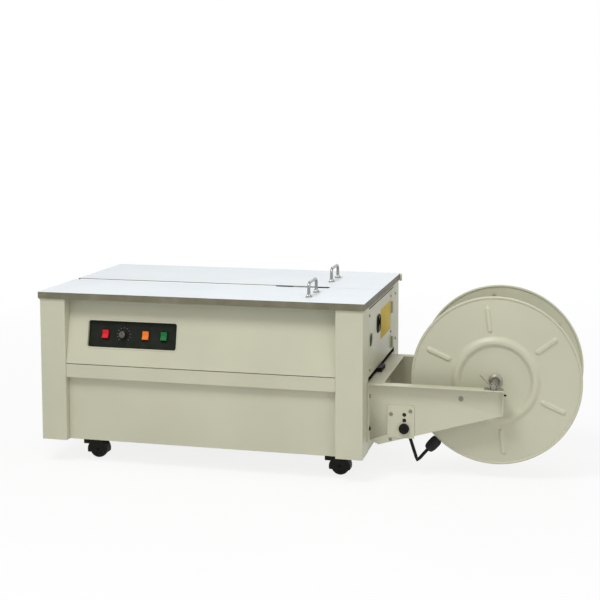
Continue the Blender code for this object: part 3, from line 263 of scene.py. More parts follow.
EXTRA = {"control_face": control_face(), "yellow_vinyl": label_finish(),
         "knob_metal": brushed("knob_metal", (0.105, 0.100, 0.076), 0.42, 0.6, (200.0, 200.0, 200.0)),
         "print_white": moulded("print_white", (0.23, 0.235, 0.22), 0.6, 600.0, 0.02, 0.2),
         # Painted shade: near-black for holes, gaps and pockets in shade, and for the seam's dark joint; dark
         # olive for the port's pocket.
         "hollow": dark_hollow("dark_joint_and_painted_shade", (0.010, 0.010, 0.008)),
         "olive": dark_hollow("painted_shade_olive", (0.060, 0.058, 0.034))}


# ---------------------------------------------------------------- surfaces
SHARP_ANGLE = 35
ON_AXIS = 0.00001
EDGE_TURN = 0.3
EDGE_ANGLE = 30
FLAT_ANGLE = 0.5
WELD = 0.000002
SOCKET_SHARE = 0.45
SOCKET_FLOOR = 0.35
SCREW_RISE = 0.55


def mesh_piece(name, vertices, faces, body, slot, material=None, smooth=SHARP_ANGLE, weld=0.0):
    """An object from arrays of corners and faces, in place, on its body, with its finish."""
    mesh = bpy.data.meshes.new(name)
    mesh.from_pydata(np.asarray(vertices, float).tolist(), [], [list(map(int, face)) for face in faces])
    shape = bmesh.new()
    shape.from_mesh(mesh)
    if weld:
        bmesh.ops.remove_doubles(shape, verts=shape.verts, dist=weld)
    bmesh.ops.recalc_face_normals(shape, faces=shape.faces)
    shape.to_mesh(mesh)
    shape.free()
    mesh.shade_smooth()
    mesh.set_sharp_from_angle(angle=radians(smooth))
    piece = bpy.data.objects.new(name, mesh)
    bpy.context.scene.collection.objects.link(piece)
    mesh.materials.append(material or FINISHES[slot])
    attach(piece, body)
    return piece


def grid_faces(rows, columns, wrap_rows=False, wrap_columns=False, first=0):
    """Quads between neighbouring points of a rows by columns grid, closing round where asked."""
    row = np.arange(rows if wrap_rows else rows - 1)
    column = np.arange(columns if wrap_columns else columns - 1)
    r, c = np.meshgrid(row, column, indexing="ij")
    r, c = r.ravel(), c.ravel()
    r1, c1 = (r + 1) % rows, (c + 1) % columns
    return np.stack([r * columns + c, r * columns + c1, r1 * columns + c1, r1 * columns + c], 1) + first


def frame_of(axis):
    """An axis made one long, and two such vectors square to it and to each other."""
    axis = np.asarray(axis, float) / np.linalg.norm(axis)
    helper = np.array([0.0, 0.0, 1.0]) if abs(axis[2]) < 0.9 else np.array([1.0, 0.0, 0.0])
    side = np.cross(helper, axis)
    side /= np.linalg.norm(side)
    return axis, side, np.cross(axis, side)


def turned(profile, centre, axis, steps=48):
    """Radius and height of a closed profile swept once round an axis: centre + r (cos, sin) + h axis."""
    axis, side, other = frame_of(axis)
    profile = np.asarray(profile, float)
    angle = np.linspace(0, 2 * pi, steps, endpoint=False)
    ring = np.cos(angle)[:, None] * side + np.sin(angle)[:, None] * other
    points = (np.asarray(centre, float) + profile[None, :, 0:1] * ring[:, None, :]
              + profile[None, :, 1:2] * axis)
    return points.reshape(-1, 3), grid_faces(steps, len(profile), True, True)


def swept(path, radius, sides=14, closed=False):
    """A circle carried along a path, square to it and turned as little as can be, with capped ends."""
    path = np.asarray(path, float)
    count = len(path)
    if closed:
        tangent = np.roll(path, -1, 0) - np.roll(path, 1, 0)
    else:
        tangent = np.gradient(path, axis=0)
    tangent /= np.linalg.norm(tangent, axis=1)[:, None]
    _, side, _ = frame_of(tangent[0])
    turned_sides = []
    for direction in tangent:
        side = side - direction * side.dot(direction)
        side = side / np.linalg.norm(side)
        turned_sides.append(side)
    side = np.array(turned_sides)
    other = np.cross(tangent, side)
    angle = np.linspace(0, 2 * pi, sides, endpoint=False)
    points = path[:, None] + radius * (np.cos(angle)[None, :, None] * side[:, None]
                                       + np.sin(angle)[None, :, None] * other[:, None])
    faces = [list(face) for face in grid_faces(count, sides, closed, True)]
    if not closed:
        faces += [list(range(sides)), list(range((count - 1) * sides, count * sides))]
    return points.reshape(-1, 3), faces


def gathered(parts):
    """Several meshes' corners and faces as one list."""
    vertices, faces, first = [], [], 0
    for points, quads in parts:
        vertices.append(points)
        faces += [[int(index) + first for index in face] for face in quads]
        first += len(points)
    return np.vstack(vertices), faces


def slab(width, height, depth, radius, centre, right, up, edge=0.0006, steps=6):
    """A tile: a rounded rectangle's outline at each level, pulled in near the front face, then capped."""
    centre, right, up = (np.asarray(v, float) for v in (centre, right, up))
    out = np.cross(right, up)
    angle = np.linspace(0, pi / 2, steps + 1)
    corners = [(1, 1, 0), (-1, 1, 1), (-1, -1, 2), (1, -1, 3)]
    rows = []
    turn = edge * EDGE_TURN
    for level, inset in ((0, 0), (depth - edge, 0), (depth - turn, turn), (depth, edge)):
        r = max(radius - inset, 0.0001)
        loop = [centre + out * level
                + right * (sx * (width / 2 - radius) + r * np.cos(angle + k * pi / 2)[:, None])
                + up * (sy * (height / 2 - radius) + r * np.sin(angle + k * pi / 2)[:, None])
                for sx, sy, k in corners]
        rows.append(np.vstack(loop))
    count = len(rows[0])
    faces = [list(face) for face in grid_faces(len(rows), count, False, True)]
    faces += [list(range(count)), list(range((len(rows) - 1) * count, len(rows) * count))]
    return np.vstack(rows), faces


def screw(centre, axis, radius, height=None, steps=18):
    """A pan-head screw: a domed profile turned about its axis, with a round socket sunk in it."""
    height = height or radius * SCREW_RISE
    bore = radius * SOCKET_SHARE
    floor = height * SOCKET_FLOOR
    profile = [(ON_AXIS, floor), (bore * 0.9, floor), (bore, height * 0.92), (radius * 0.62, height),
               (radius * 0.88, height * 0.78), (radius, floor), (radius, 0.0), (ON_AXIS, 0.0)]
    return turned(profile, centre, axis, steps)


def disc(centre, axis, radius, thickness, steps):
    """A flat round plate: a rectangle turned about one of its sides."""
    profile = [(ON_AXIS, thickness), (radius, thickness), (radius, 0.0), (ON_AXIS, 0.0)]
    return turned(profile, centre, axis, steps)


def bevelled(node, width=0.0006, segments=2, material=None, angle=EDGE_ANGLE):
    """The CAD node's own shape with its edges rounded, standing in for it."""
    source = NODES[node]
    shape = bmesh.new()
    shape.from_mesh(source.data)
    bmesh.ops.remove_doubles(shape, verts=shape.verts, dist=WELD)
    bmesh.ops.dissolve_limit(shape, angle_limit=radians(FLAT_ANGLE), verts=shape.verts, edges=shape.edges)
    mesh = bpy.data.meshes.new(node + "_rounded")
    shape.to_mesh(mesh)
    shape.free()
    mesh.shade_smooth()
    mesh.set_sharp_from_angle(angle=radians(angle))
    piece = bpy.data.objects.new(node + "_rounded", mesh)
    bpy.context.scene.collection.objects.link(piece)
    mesh.materials.clear()
    mesh.materials.append(material or FINISHES[SLOT_OF[node]])
    bevel = piece.modifiers.new("edges", "BEVEL")
    bevel.width = width
    bevel.segments = segments
    bevel.limit_method = "ANGLE"
    bevel.angle_limit = radians(angle)
    bevel.harden_normals = True
    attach(piece, BODY_OF[node])
    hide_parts(node)
    return piece


# ---------------------------------------------------------------- reel
RIB_COUNT = 6
RIB_PITCH = 360 / RIB_COUNT
RIB_PHASE = 37.0
RIB_RISE = 0.0045
RIB_START = 0.1345
RIB_STOP = 0.1885
RIB_FOOT = 0.0084
RIB_CREST = 0.0026
RING_RISE = 0.0078
RING_INSIDE = (0.086, 0.100)
RING_OUTSIDE = (0.104, 0.118)
DISH_DEPTH = 0.0012
DISH_EDGE = 0.070
DISC_HALF = 0.0008
DISC_BORE = 0.0083
RIM_BEAD = 0.0035
RIM_ROLL = 140
RIB_SECTOR = 4.6
PLAIN_SECTOR = 6.6
GRID_BANDS = ((DISC_BORE, 0.078, 8), (0.081, 0.122, 22), (0.126, 0.197, 34))
LAST_BAND = (0.203, 4)
BUSH_PROFILE = [(0.0086, 0.0), (0.0086, 0.0045), (0.0125, 0.0045), (0.0135, 0.0038), (0.0180, 0.0016),
                (0.0180, 0.0)]
BUSH_SINK = 0.0004
CLAMP_FOOT = 0.0027
CLAMP_SCREW_OUT = 0.0185
CLAMP_SCREW = 0.0042
PIN_LEAN = radians(44)
PIN_RADIUS = 0.0017
PIN_REACH = (-0.012, 0.042)
PIN_START = (0.004, 0.0035, 0.001)
AXLE_CAP = [(ON_AXIS, 0.0022), (0.0045, 0.0022), (0.0066, 0.0014), (0.0078, -0.0005), (ON_AXIS, -0.0005)]
END_PIN = [(ON_AXIS, 0.007), (0.0016, 0.007), (0.0024, 0.006), (0.0024, 0.0), (ON_AXIS, 0.0)]
END_PIN_DROP = 0.016


def rise(value, low, high):
    """A smooth step: nothing below low, one above high, and t t (3 - 2 t) between."""
    t = np.clip((value - low) / (high - low), 0, 1)
    return t * t * (3 - 2 * t)


def flange_height(radius, angle):
    """Pressed relief: a smooth raised ring, and radial ribs by their distance to a rib's centre line."""
    ring = RING_RISE * (rise(radius, *RING_INSIDE) - rise(radius, *RING_OUTSIDE))
    dish = -DISH_DEPTH * (1 - rise(radius, DISH_EDGE, RING_INSIDE[0]))
    pitch = 2 * pi / RIB_COUNT
    turn = (angle - radians(RIB_PHASE) + pitch / 2) % pitch - pitch / 2
    along = radius * np.cos(turn)
    past = np.maximum(np.maximum(RIB_START - along, along - RIB_STOP), 0)
    away = np.hypot(past, radius * np.sin(turn))
    return ring + dish + RIB_RISE * rise(-away, -RIB_FOOT, -RIB_CREST)


def reel_flange(node, outward):
    """A disc and its rolled rim as one closed profile at each angle, both faces following the relief."""
    low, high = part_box(node)
    middle_y = low.y + RIM_BEAD if outward > 0 else high.y - RIM_BEAD
    rim_radius = (high.x - low.x) / 2
    sector = np.concatenate([np.linspace(-RIB_SECTOR, RIB_SECTOR, 19),
                             np.linspace(PLAIN_SECTOR, RIB_PITCH - PLAIN_SECTOR, 20)])
    angle = np.radians(np.add.outer(np.arange(RIB_COUNT) * RIB_PITCH, sector).ravel() + RIB_PHASE)
    last, rings = LAST_BAND
    bands = [*GRID_BANDS, (last, rim_radius - 2 * RIM_BEAD, rings)]
    radius = np.concatenate([np.linspace(*band) for band in bands])
    r, a = np.meshgrid(radius, angle)
    height = flange_height(r, a)
    roll = np.radians(np.linspace(RIM_ROLL, -RIM_ROLL, 15))
    bead_r = np.broadcast_to(rim_radius - RIM_BEAD + RIM_BEAD * np.cos(roll), (len(angle), len(roll)))
    bead_h = np.broadcast_to(RIM_BEAD * np.sin(roll), bead_r.shape)
    all_r = np.hstack([r, bead_r, r[:, ::-1]])
    all_h = np.hstack([height + DISC_HALF, bead_h, height[:, ::-1] - DISC_HALF])
    turn = angle[:, None]
    points = np.stack([AXLE.x + all_r * np.cos(turn), middle_y + outward * all_h,
                       AXLE.z + all_r * np.sin(turn)], -1)
    piece = mesh_piece(node + "_pressed", points.reshape(-1, 3),
                       grid_faces(len(angle), all_r.shape[1], True, True), "reel", "cream_paint", smooth=50)
    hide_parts(node)


def hub_bush(name, y, outward):
    """A flanged bush round the axle where it passes the reel's disc: a stepped profile turned."""
    mesh_piece(name, *turned(BUSH_PROFILE, (AXLE.x, y, AXLE.z), (0, outward, 0), 40), "reel", "zinc_steel")


def clamp_screws(end):
    """A screw through each foot of an axle clamp."""
    low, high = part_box("axle_clamp_" + end)
    middle = (low + high) / 2
    for side, x in (("a", middle.x - CLAMP_SCREW_OUT), ("b", middle.x + CLAMP_SCREW_OUT)):
        place = (x, middle.y, low.z + CLAMP_FOOT)
        fixing = screw(place, (0, 0, 1), CLAMP_SCREW)
        mesh_piece(f"clamp_screw_{end}_{side}", *fixing, "cabinet", "zinc_steel")


def reel_pieces():
    """The two pressed discs with their bushes, and what holds the axle in the bracket."""
    reel_flange("reel_flange_front", -1)
    reel_flange("reel_flange_rear", 1)
    hub_bush("hub_bush_front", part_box("reel_flange_front")[1].y - RIM_BEAD - BUSH_SINK, -1)
    hub_bush("hub_bush_rear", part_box("reel_flange_rear")[0].y + RIM_BEAD + BUSH_SINK, 1)
    clamp_screws("front")
    clamp_screws("rear")
    aside, forward, up = PIN_START
    start = np.array([AXLE.x - aside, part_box("axle_clamp_front")[0].y - forward, AXLE.z + up])
    lean = np.array([-cos(PIN_LEAN), 0, sin(PIN_LEAN)])
    path = np.array([start + lean * t for t in np.linspace(*PIN_REACH, 10)])
    mesh_piece("axle_cross_pin", *swept(path, PIN_RADIUS), "cabinet", "zinc_steel")
    axle_end = (AXLE.x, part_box("reel_axle")[0].y, AXLE.z)
    mesh_piece("axle_end_front", *turned(AXLE_CAP, axle_end, (0, -1, 0), 32), "cabinet", "zinc_steel")
    tip = (ARM_HIGH.x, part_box("brake_plate")[1].y, ARM_HIGH.z - END_PIN_DROP)
    mesh_piece("arm_end_pin", *turned(END_PIN, tip, (1, 0, 0), 16), "cabinet", "black_steel")


# ---------------------------------------------------------------- controls
WINDOW_LIP = {"out": 0.0098, "size": (0.256, 0.075), "corner": 0.008, "radius": 0.0021, "sides": 10}
BEZEL = {"out": 0.0007, "size": (0.0215, 0.0275), "corner": 0.0022, "radius": 0.0013, "sides": 8}
KEY_ROUND = 0.0011
KNOB_LEVELS = [(0.0, 0.0010), (0.0128, 0.0010), (0.0130, 0.0022), (0.0118, 0.0036), (0.0104, 0.0042),
               (0.0100, 0.0130), (0.0094, 0.0142), (0.0, 0.0142)]
FLUTES = 24
FLUTE_DEPTH = 0.0005
FLUTED = (0.004, 0.0135)
KNOB_STEPS = 96
KNOB_WELD = 0.00001
KNOB_TOP = 0.0150
KNOB_CAP = [(ON_AXIS, KNOB_TOP), (0.0078, KNOB_TOP), (0.0086, 0.0146), (0.0088, 0.0140), (ON_AXIS, 0.0140)]
POINTER = (0.0012, 0.0062, 0.0004)
POINTER_UP = 0.0045
TICK = (0.0009, 0.0034, 0.0002)
TICK_COUNT = 11
TICK_SWEEP = 270
TICK_RADIUS = 0.0185


def on_panel(right, up, out=0.0):
    """World place on the control plate, from the knob's centre."""
    return KNOB_CENTRE + Vector((1, 0, 0)) * right + PANEL_UP * up + PANEL_NORMAL * out


def rounded_loop(centre, size, radius, right, up, steps=8):
    """Points round a rounded rectangle of a width and height in the plane of two directions."""
    width, height = size
    angle = np.linspace(0, pi / 2, steps + 1)
    corners = []
    for quarter, (sx, sy) in enumerate(((1, 1), (-1, 1), (-1, -1), (1, -1))):
        turn = angle + quarter * pi / 2
        across = np.outer(sx * (width / 2 - radius) + radius * np.cos(turn), right)
        upward = np.outer(sy * (height / 2 - radius) + radius * np.sin(turn), up)
        corners.append(np.asarray(centre) + across + upward)
    return np.vstack(corners)


def panel_bead(name, x, bead, slot):
    """A bead carried round a rounded rectangle that lies on the control plate's slope."""
    centre = on_panel(x - KNOB_CENTRE.x, 0, bead["out"])
    loop = rounded_loop(centre, bead["size"], bead["corner"], (1, 0, 0), PANEL_UP)
    mesh_piece(name, *swept(loop, bead["radius"], bead["sides"], closed=True), "cabinet", slot)


def fluted_knob():
    """A stepped profile turned, with flutes: its radius less half a depth times one plus cos of 24 turns."""
    angle = np.linspace(0, 2 * pi, KNOB_STEPS, endpoint=False)
    levels = np.array(KNOB_LEVELS)
    start, stop = FLUTED
    fluted = np.where((levels[:, 1] > start) & (levels[:, 1] < stop), 1.0, 0.0)
    depth = FLUTE_DEPTH * (0.5 + 0.5 * np.cos(FLUTES * angle))
    radius = levels[None, :, 0] - fluted[None, :] * depth[:, None]
    right, up, out = (np.array(v) for v in ((1, 0, 0), tuple(PANEL_UP), tuple(PANEL_NORMAL)))
    across = np.cos(angle)[:, None, None] * right + np.sin(angle)[:, None, None] * up
    lift = np.broadcast_to(levels[None, :, 1:2], (KNOB_STEPS, len(levels), 1)) * out
    points = np.array(KNOB_CENTRE) + radius[..., None] * across + lift
    knob = mesh_piece("tension_knob_fluted", points.reshape(-1, 3),
                      grid_faces(KNOB_STEPS, len(levels), True, False), "tension_knob", "black_plastic",
                      weld=KNOB_WELD)
    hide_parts("tension_knob")
    mesh_piece("knob_cap", *turned(KNOB_CAP, KNOB_CENTRE, PANEL_NORMAL, 40), "tension_knob", "zinc_steel",
               EXTRA["knob_metal"])
    pointer = slab(*POINTER, 0.0003, on_panel(0, POINTER_UP, KNOB_TOP), (1, 0, 0), PANEL_UP, 0.0001)
    mesh_piece("knob_pointer", *pointer, "tension_knob", "black_plastic")


def knob_scale():
    """Plain ticks spread evenly round the knob."""
    ticks = []
    for index in range(TICK_COUNT):
        turn = radians(TICK_SWEEP * (index / (TICK_COUNT - 1) - 0.5))
        direction = Vector((1, 0, 0)) * sin(turn) + PANEL_UP * cos(turn)
        across = Vector((1, 0, 0)) * cos(turn) - PANEL_UP * sin(turn)
        ticks.append(slab(*TICK, 0.0002, KNOB_CENTRE + direction * TICK_RADIUS, across, direction, 0.00005))
    mesh_piece("knob_scale", *gathered(ticks), "cabinet", "black_plastic", EXTRA["print_white"])


def control_pieces():
    """The window's rolled lip, the three keys in their bezels, and the knob with its scale."""
    low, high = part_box("control_panel")
    panel_bead("window_lip", (low.x + high.x) / 2, WINDOW_LIP, "cream_paint")
    for name in ("power", "feed", "reset"):
        panel_bead(name + "_bezel", JOINT[name + "_rock"]["pos_m"][0], BEZEL, "black_plastic")
        bevelled(name + "_switch", KEY_ROUND, 3)
    fluted_knob()
    knob_scale()


# ---------------------------------------------------------------- table
ROD_RADIUS = 0.0041
ROD_CREST = 0.0042
ROD_BEND = 0.013
ROD_INSET = 0.010
ROD_STEPS = 9
FOOT_HEIGHT = 0.0125
FOOT_RADIUS = 0.0043
FOOT_FLARE = 0.0052
FOOT_LOBE = 0.0022
FOOT_CURVE = 2.4
HINGE_SCREW = 0.0036
HINGE_SCREW_UP = 0.014
CATCH = (0.011, 0.021, 0.0065)


def handle_path(x, near, far, base, crest):
    """Up, round a quarter bend, along, and down again the same way."""
    turn = np.linspace(0, pi / 2, ROD_STEPS)
    first = np.stack([np.full(ROD_STEPS, x), near + ROD_BEND * (1 - np.cos(turn)),
                      crest - ROD_BEND * (1 - np.sin(turn))], 1)
    second = first[::-1].copy()
    second[:, 1] = near + far - second[:, 1]
    along = np.linspace(near + ROD_BEND, far - ROD_BEND, 8)[1:-1]
    middle = np.stack([np.full(len(along), x), along, np.full(len(along), crest)], 1)
    up = [[x, near, base + 0.003], [x, near, base + 0.014]]
    down = [[x, far, base + 0.014], [x, far, base + 0.003]]
    return np.vstack([up, first, middle, second, down])


def handle_foot(x, y, base):
    """A three-lobed foot: its radius flares as (1 - level) ^ 2.4 times a size that follows cos 3 angle."""
    angle = np.linspace(0, 2 * pi, 36, endpoint=False)
    level = np.linspace(0, 1, 9)
    flare = (1 - level[None, :]) ** FOOT_CURVE
    radius = FOOT_RADIUS + (FOOT_FLARE + FOOT_LOBE * np.cos(3 * angle)[:, None]) * flare
    points = np.stack([x + radius * np.cos(angle)[:, None], y + radius * np.sin(angle)[:, None],
                       np.broadcast_to(base + FOOT_HEIGHT * level, radius.shape)], -1)
    faces = [list(face) for face in grid_faces(36, 9, True, False)]
    faces += [[row * 9 for row in range(36)], [row * 9 + 8 for row in range(36)]]
    return points.reshape(-1, 3), faces


def handle(node):
    """A bent rod, a circle carried along an arch, on two flared feet."""
    low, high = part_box(node)
    x = (low.x + high.x) / 2
    near, far = low.y + ROD_INSET, high.y - ROD_INSET
    path = handle_path(x, near, far, low.z, high.z - ROD_CREST)
    parts = [swept(path, ROD_RADIUS, 18), handle_foot(x, near, low.z), handle_foot(x, far, low.z)]
    piece = mesh_piece(node + "_rod", *gathered(parts), BODY_OF[node], "chrome")
    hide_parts(node)


def table_pieces():
    """The two leaves with their edges rounded, the channel in the slot, hinges, handles and corner catch."""
    for node in ("table_leaf_front", "table_leaf_rear"):
        bevelled(node, 0.0016, 3)
    bevelled("strap_channel", 0.0005, 2)
    for node in ("table_hinge_front", "table_hinge_rear"):
        bevelled(node, 0.0004, 2)
        low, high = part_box(node)
        for index, share in enumerate((0.2, 0.8)):
            place = (low.x + HINGE_SCREW, low.y + (high.y - low.y) * share, low.z + HINGE_SCREW_UP)
            fixing = screw(place, (-1, 0, 0), HINGE_SCREW)
            mesh_piece(f"{node}_screw_{index}", *fixing, "cabinet", "zinc_steel")
    handle("handle_front")
    handle("handle_rear")
    place = (RIGHT_X - 0.0005, BACK_Y - 0.007, TOP_Z - 0.0115)
    mesh_piece("corner_catch", *slab(*CATCH, 0.003, place, (0, 1, 0), (0, 0, 1), 0.0012),
               "table_leaf_rear", "cream_paint")


# ---------------------------------------------------------------- side cover
LABEL = ((0.262, 0.418), (0.058, 0.141))
SEAM = ((0.4285, 0.4295), (0.024, 0.206))
# Painted shadow: span of the thin dark tile under the table's edge, the shade between table and cover.
TABLE_EDGE_SHADOW = ((0.090, 0.470), (0.0255, 0.0290))
HINGE_SPANS = ((0.061, 0.097), (0.163, 0.199))
HINGE_DEPTH = (0.4215, 0.4365)
HINGE_BARREL = 0.0034
HINGE_BARREL_OUT = 0.0040
COVER_SCREW = 0.0042
COVER_SCREWS = ((0.425, 0.046), (0.425, 0.150), (0.504, 0.051), (0.504, 0.185), (0.095, 0.046),
                (0.095, 0.190))
OPENING_CORNER = 0.016
# The pocket colours below, near-black and dark olive, are painted shade for the cover's dark inside.
GRIP_RIM = {"grow": (0.019, 0.0175), "radius": 0.0020, "slot": "black_plastic", "pocket_shade": "hollow"}
PORT_RIM = {"grow": (0.0195, 0.0145), "radius": 0.0012, "slot": "cream_paint", "pocket_shade": "olive"}
POCKET_ROOM = (0.030, 0.028)
POCKET_DEPTH = 0.030


def side_tile(name, depth, drop, thickness, radius, slot, material=None, edge=0.0002):
    """A flat rounded tile on the side cover, from a span behind the front edge and a span below the top."""
    centre = (SIDE_FACE, FRONT_Y + sum(depth) / 2, TOP_Z - sum(drop) / 2)
    tile = slab(depth[1] - depth[0], drop[1] - drop[0], thickness, radius, centre, (0, 1, 0), (0, 0, 1), edge)
    mesh_piece(name, *tile, "cabinet", slot, material)


def cover_opening(name, box_name, rim):
    """A bead round one of the side cover's holes, and behind it a dark pocket tile whose colour is painted
    shade.
    """
    opening = next(o for o in RECORD["physics"]["openings"] if o["name"] == box_name)["box_m"]
    y = (opening[0][1] + opening[1][1]) / 2
    z = (opening[0][2] + opening[1][2]) / 2
    width = opening[1][1] - opening[0][1]
    height = opening[1][2] - opening[0][2]
    wider, taller = rim["grow"]
    loop = rounded_loop((SIDE_FACE + 0.0006, y, z), (width + wider, height + taller), OPENING_CORNER,
                        (0, 1, 0), (0, 0, 1))
    mesh_piece(f"cover_{name}_rim", *swept(loop, rim["radius"], 10, closed=True), "cabinet", rim["slot"])
    # Painted shade: a near-black or dark olive tile set inside the hole for the dark inside of the cover.
    wider, taller = POCKET_ROOM
    pocket = slab(width + wider, height + taller, 0.002, OPENING_CORNER, (SIDE_FACE - POCKET_DEPTH, y, z),
                  (0, 1, 0), (0, 0, 1), 0.0005)
    mesh_piece(f"cover_{name}_pocket", *pocket, "cabinet", rim["pocket_shade"], EXTRA[rim["pocket_shade"]])


def side_pieces():
    """The bare label, the cover's seam, the painted shadow under the table's edge, hinges and screws, and its
    two holes.
    """
    hollow = EXTRA["hollow"]
    side_tile("side_label", *LABEL, 0.0004, 0.003, "yellow_vinyl", EXTRA["yellow_vinyl"])
    side_tile("cover_seam", *SEAM, 0.0002, 0.0002, "hollow", hollow, 0.00005)
    # Painted shadow: a thin near-black tile under the table's edge.
    side_tile("cover_edge_shadow", *TABLE_EDGE_SHADOW, 0.0002, 0.0004, "hollow", hollow, 0.00005)
    for index, drop in enumerate(HINGE_SPANS):
        side_tile(f"cover_hinge_{index}", HINGE_DEPTH, drop, 0.0016, 0.002, "cream_paint", None, 0.0006)
        x = SIDE_FACE + HINGE_BARREL_OUT
        y = FRONT_Y + sum(HINGE_DEPTH) / 2
        path = np.linspace((x, y, TOP_Z - drop[1] + 0.001), (x, y, TOP_Z - drop[0] - 0.001), 12)
        mesh_piece(f"cover_hinge_pin_{index}", *swept(path, HINGE_BARREL), "cabinet", "cream_paint")
    for index, (depth, drop) in enumerate(COVER_SCREWS):
        place = (SIDE_FACE, FRONT_Y + depth, TOP_Z - drop)
        mesh_piece(f"cover_screw_{index}", *screw(place, (1, 0, 0), COVER_SCREW), "cabinet", "zinc_steel")
    cover_opening("grip", "side_cover_grip", GRIP_RIM)
    cover_opening("port", "side_cover_hole", PORT_RIM)


# ---------------------------------------------------------------- bracket and brake
BRACKET_SCREWS = ((0.960, 0.3015, "plate", 0.0048), (1.011, 0.2912, "plate", 0.0048),
                  (1.142, 0.2517, "arm", 0.0062), (0.958, 0.370, "arm", 0.0040))
PLATE_HOLES_UP = (0.021, 0.036)
PLATE_HOLE = 0.0054
BUMPER_PROFILE = [(ON_AXIS, 0.0194), (0.0085, 0.0194), (0.0118, 0.0172), (0.0140, 0.0110), (0.0150, 0.0030),
                  (0.0150, -0.0110), (0.0142, -0.0165), (0.0120, -0.0192), (ON_AXIS, -0.0192)]
PIVOT_SCREW = 0.0060
FOOT_BOLT = 0.0060
FOOT_BOLT_HEIGHT = 0.004
FOOT_BOLT_IN = 0.012
FOOT_BOLT_DOWN = 0.035
FOOT_BOLT_UP = 0.045
FOOT_THICKNESS = 0.0034


def brake_pieces():
    """The lever with its rounded edges, its screw, and a rounded rubber bumper: a profile turned, in line
    with the reel's axle."""
    pivot = Vector(JOINT["brake_swing"]["pos_m"])
    bevelled("brake_lever", 0.0006, 2)
    low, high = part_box("brake_block")
    middle = (low + high) / 2
    radial = Vector((middle.x - AXLE.x, 0, middle.z - AXLE.z)).normalized()
    bumper = mesh_piece("brake_bumper", *turned(BUMPER_PROFILE, middle, radial, 40), "brake", "rubber",
                        smooth=40)
    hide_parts("brake_block")
    place = (pivot.x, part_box("brake_lever")[0].y, pivot.z)
    mesh_piece("brake_pivot_screw", *screw(place, (0, -1, 0), PIVOT_SCREW), "brake", "black_steel")


def bracket_pieces():
    """The bracket's sheets, clamps and axle with rounded edges, their screws, dark discs painted as the shade
    in two holes, and foot bolts.
    """
    for node in ("reel_arm_front", "reel_arm_rear", "bracket_web", "brake_plate", "axle_clamp_front",
                 "axle_clamp_rear", "reel_axle", "strap_inlet"):
        bevelled(node, 0.0007, 2)
    out = (0, -1, 0)
    face = {"plate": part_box("brake_plate")[0].y, "arm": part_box("brake_plate")[1].y + 0.0003}
    for index, (x, drop, sheet, radius) in enumerate(BRACKET_SCREWS):
        place = (LEFT_X + x, face[sheet], TOP_Z - drop)
        mesh_piece(f"bracket_screw_{index}", *screw(place, out, radius), "cabinet", "zinc_steel")
    pivot = Vector(JOINT["brake_swing"]["pos_m"])
    # Painted shade: near-black discs on the arm stand for the dark inside of two holes.
    for index, up in enumerate(PLATE_HOLES_UP):
        hole = disc((pivot.x, face["arm"] - 0.0001, pivot.z + up), out, PLATE_HOLE, 0.0003, 24)
        mesh_piece(f"plate_hole_{index}", *hole, "cabinet", "hollow", EXTRA["hollow"])
    brake_pieces()
    for side, y in (("front", ARM_LOW.y + FOOT_BOLT_IN), ("rear", REAR_ARM_HIGH.y - FOOT_BOLT_IN)):
        upper = (ARM_HIGH.z - FOOT_BOLT_DOWN, "zinc_steel")
        lower = (ARM_LOW.z + FOOT_BOLT_UP, "black_steel")
        for index, (z, slot) in enumerate((upper, lower)):
            bolt = screw((SIDE_FACE + FOOT_THICKNESS, y, z), (1, 0, 0), FOOT_BOLT, FOOT_BOLT_HEIGHT)
            mesh_piece(f"foot_bolt_{side}_{index}", *bolt, "cabinet", slot)


# ---------------------------------------------------------------- cabinet
PANEL_SCREW = 0.0045
REAR_SCREWS = ((0.03, 0.05), (0.5, 0.05), (0.97, 0.05), (0.03, 0.95), (0.5, 0.95), (0.97, 0.95))
LEFT_SCREWS = ((0.05, 0.06), (0.95, 0.06), (0.05, 0.82), (0.95, 0.82))
LOUVRE_ROWS = 7
LOUVRE_COLUMNS = (0.28, 0.72)
LOUVRE_LENGTH = 0.120
LOUVRE_RISE = 0.0034
LOUVRE_HALF = 0.0045
LOUVRE_PITCH = 0.020
LOUVRE_START = 0.130
LOUVRE_END = 0.35


def cabinet_pieces():
    """Legs, rails, panels and the control plate with their edges rounded, and the panels' screws."""
    for node in ("leg_front_left", "leg_front_right", "leg_rear_left", "leg_rear_right"):
        bevelled(node, 0.0014, 3)
    for node in ("front_rail", "front_upper_panel", "front_lower_panel", "side_cover", "rear_panel",
                 "left_panel", "right_lower_panel", "base_tray", "control_box", "transformer"):
        bevelled(node, 0.0006, 2)
    bevelled("control_panel", 0.0004, 2, EXTRA["control_face"])
    low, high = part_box("rear_panel")
    for index, (along, up) in enumerate(REAR_SCREWS):
        place = (low.x + (high.x - low.x) * along, high.y, low.z + (high.z - low.z) * up)
        fixing = screw(place, (0, 1, 0), PANEL_SCREW)
        mesh_piece(f"rear_panel_screw_{index}", *fixing, "cabinet", "zinc_steel")
    low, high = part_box("left_panel")
    for index, (along, up) in enumerate(LEFT_SCREWS):
        place = (low.x, low.y + (high.y - low.y) * along, low.z + (high.z - low.z) * up)
        fixing = screw(place, (-1, 0, 0), PANEL_SCREW)
        mesh_piece(f"left_panel_screw_{index}", *fixing, "cabinet", "zinc_steel")


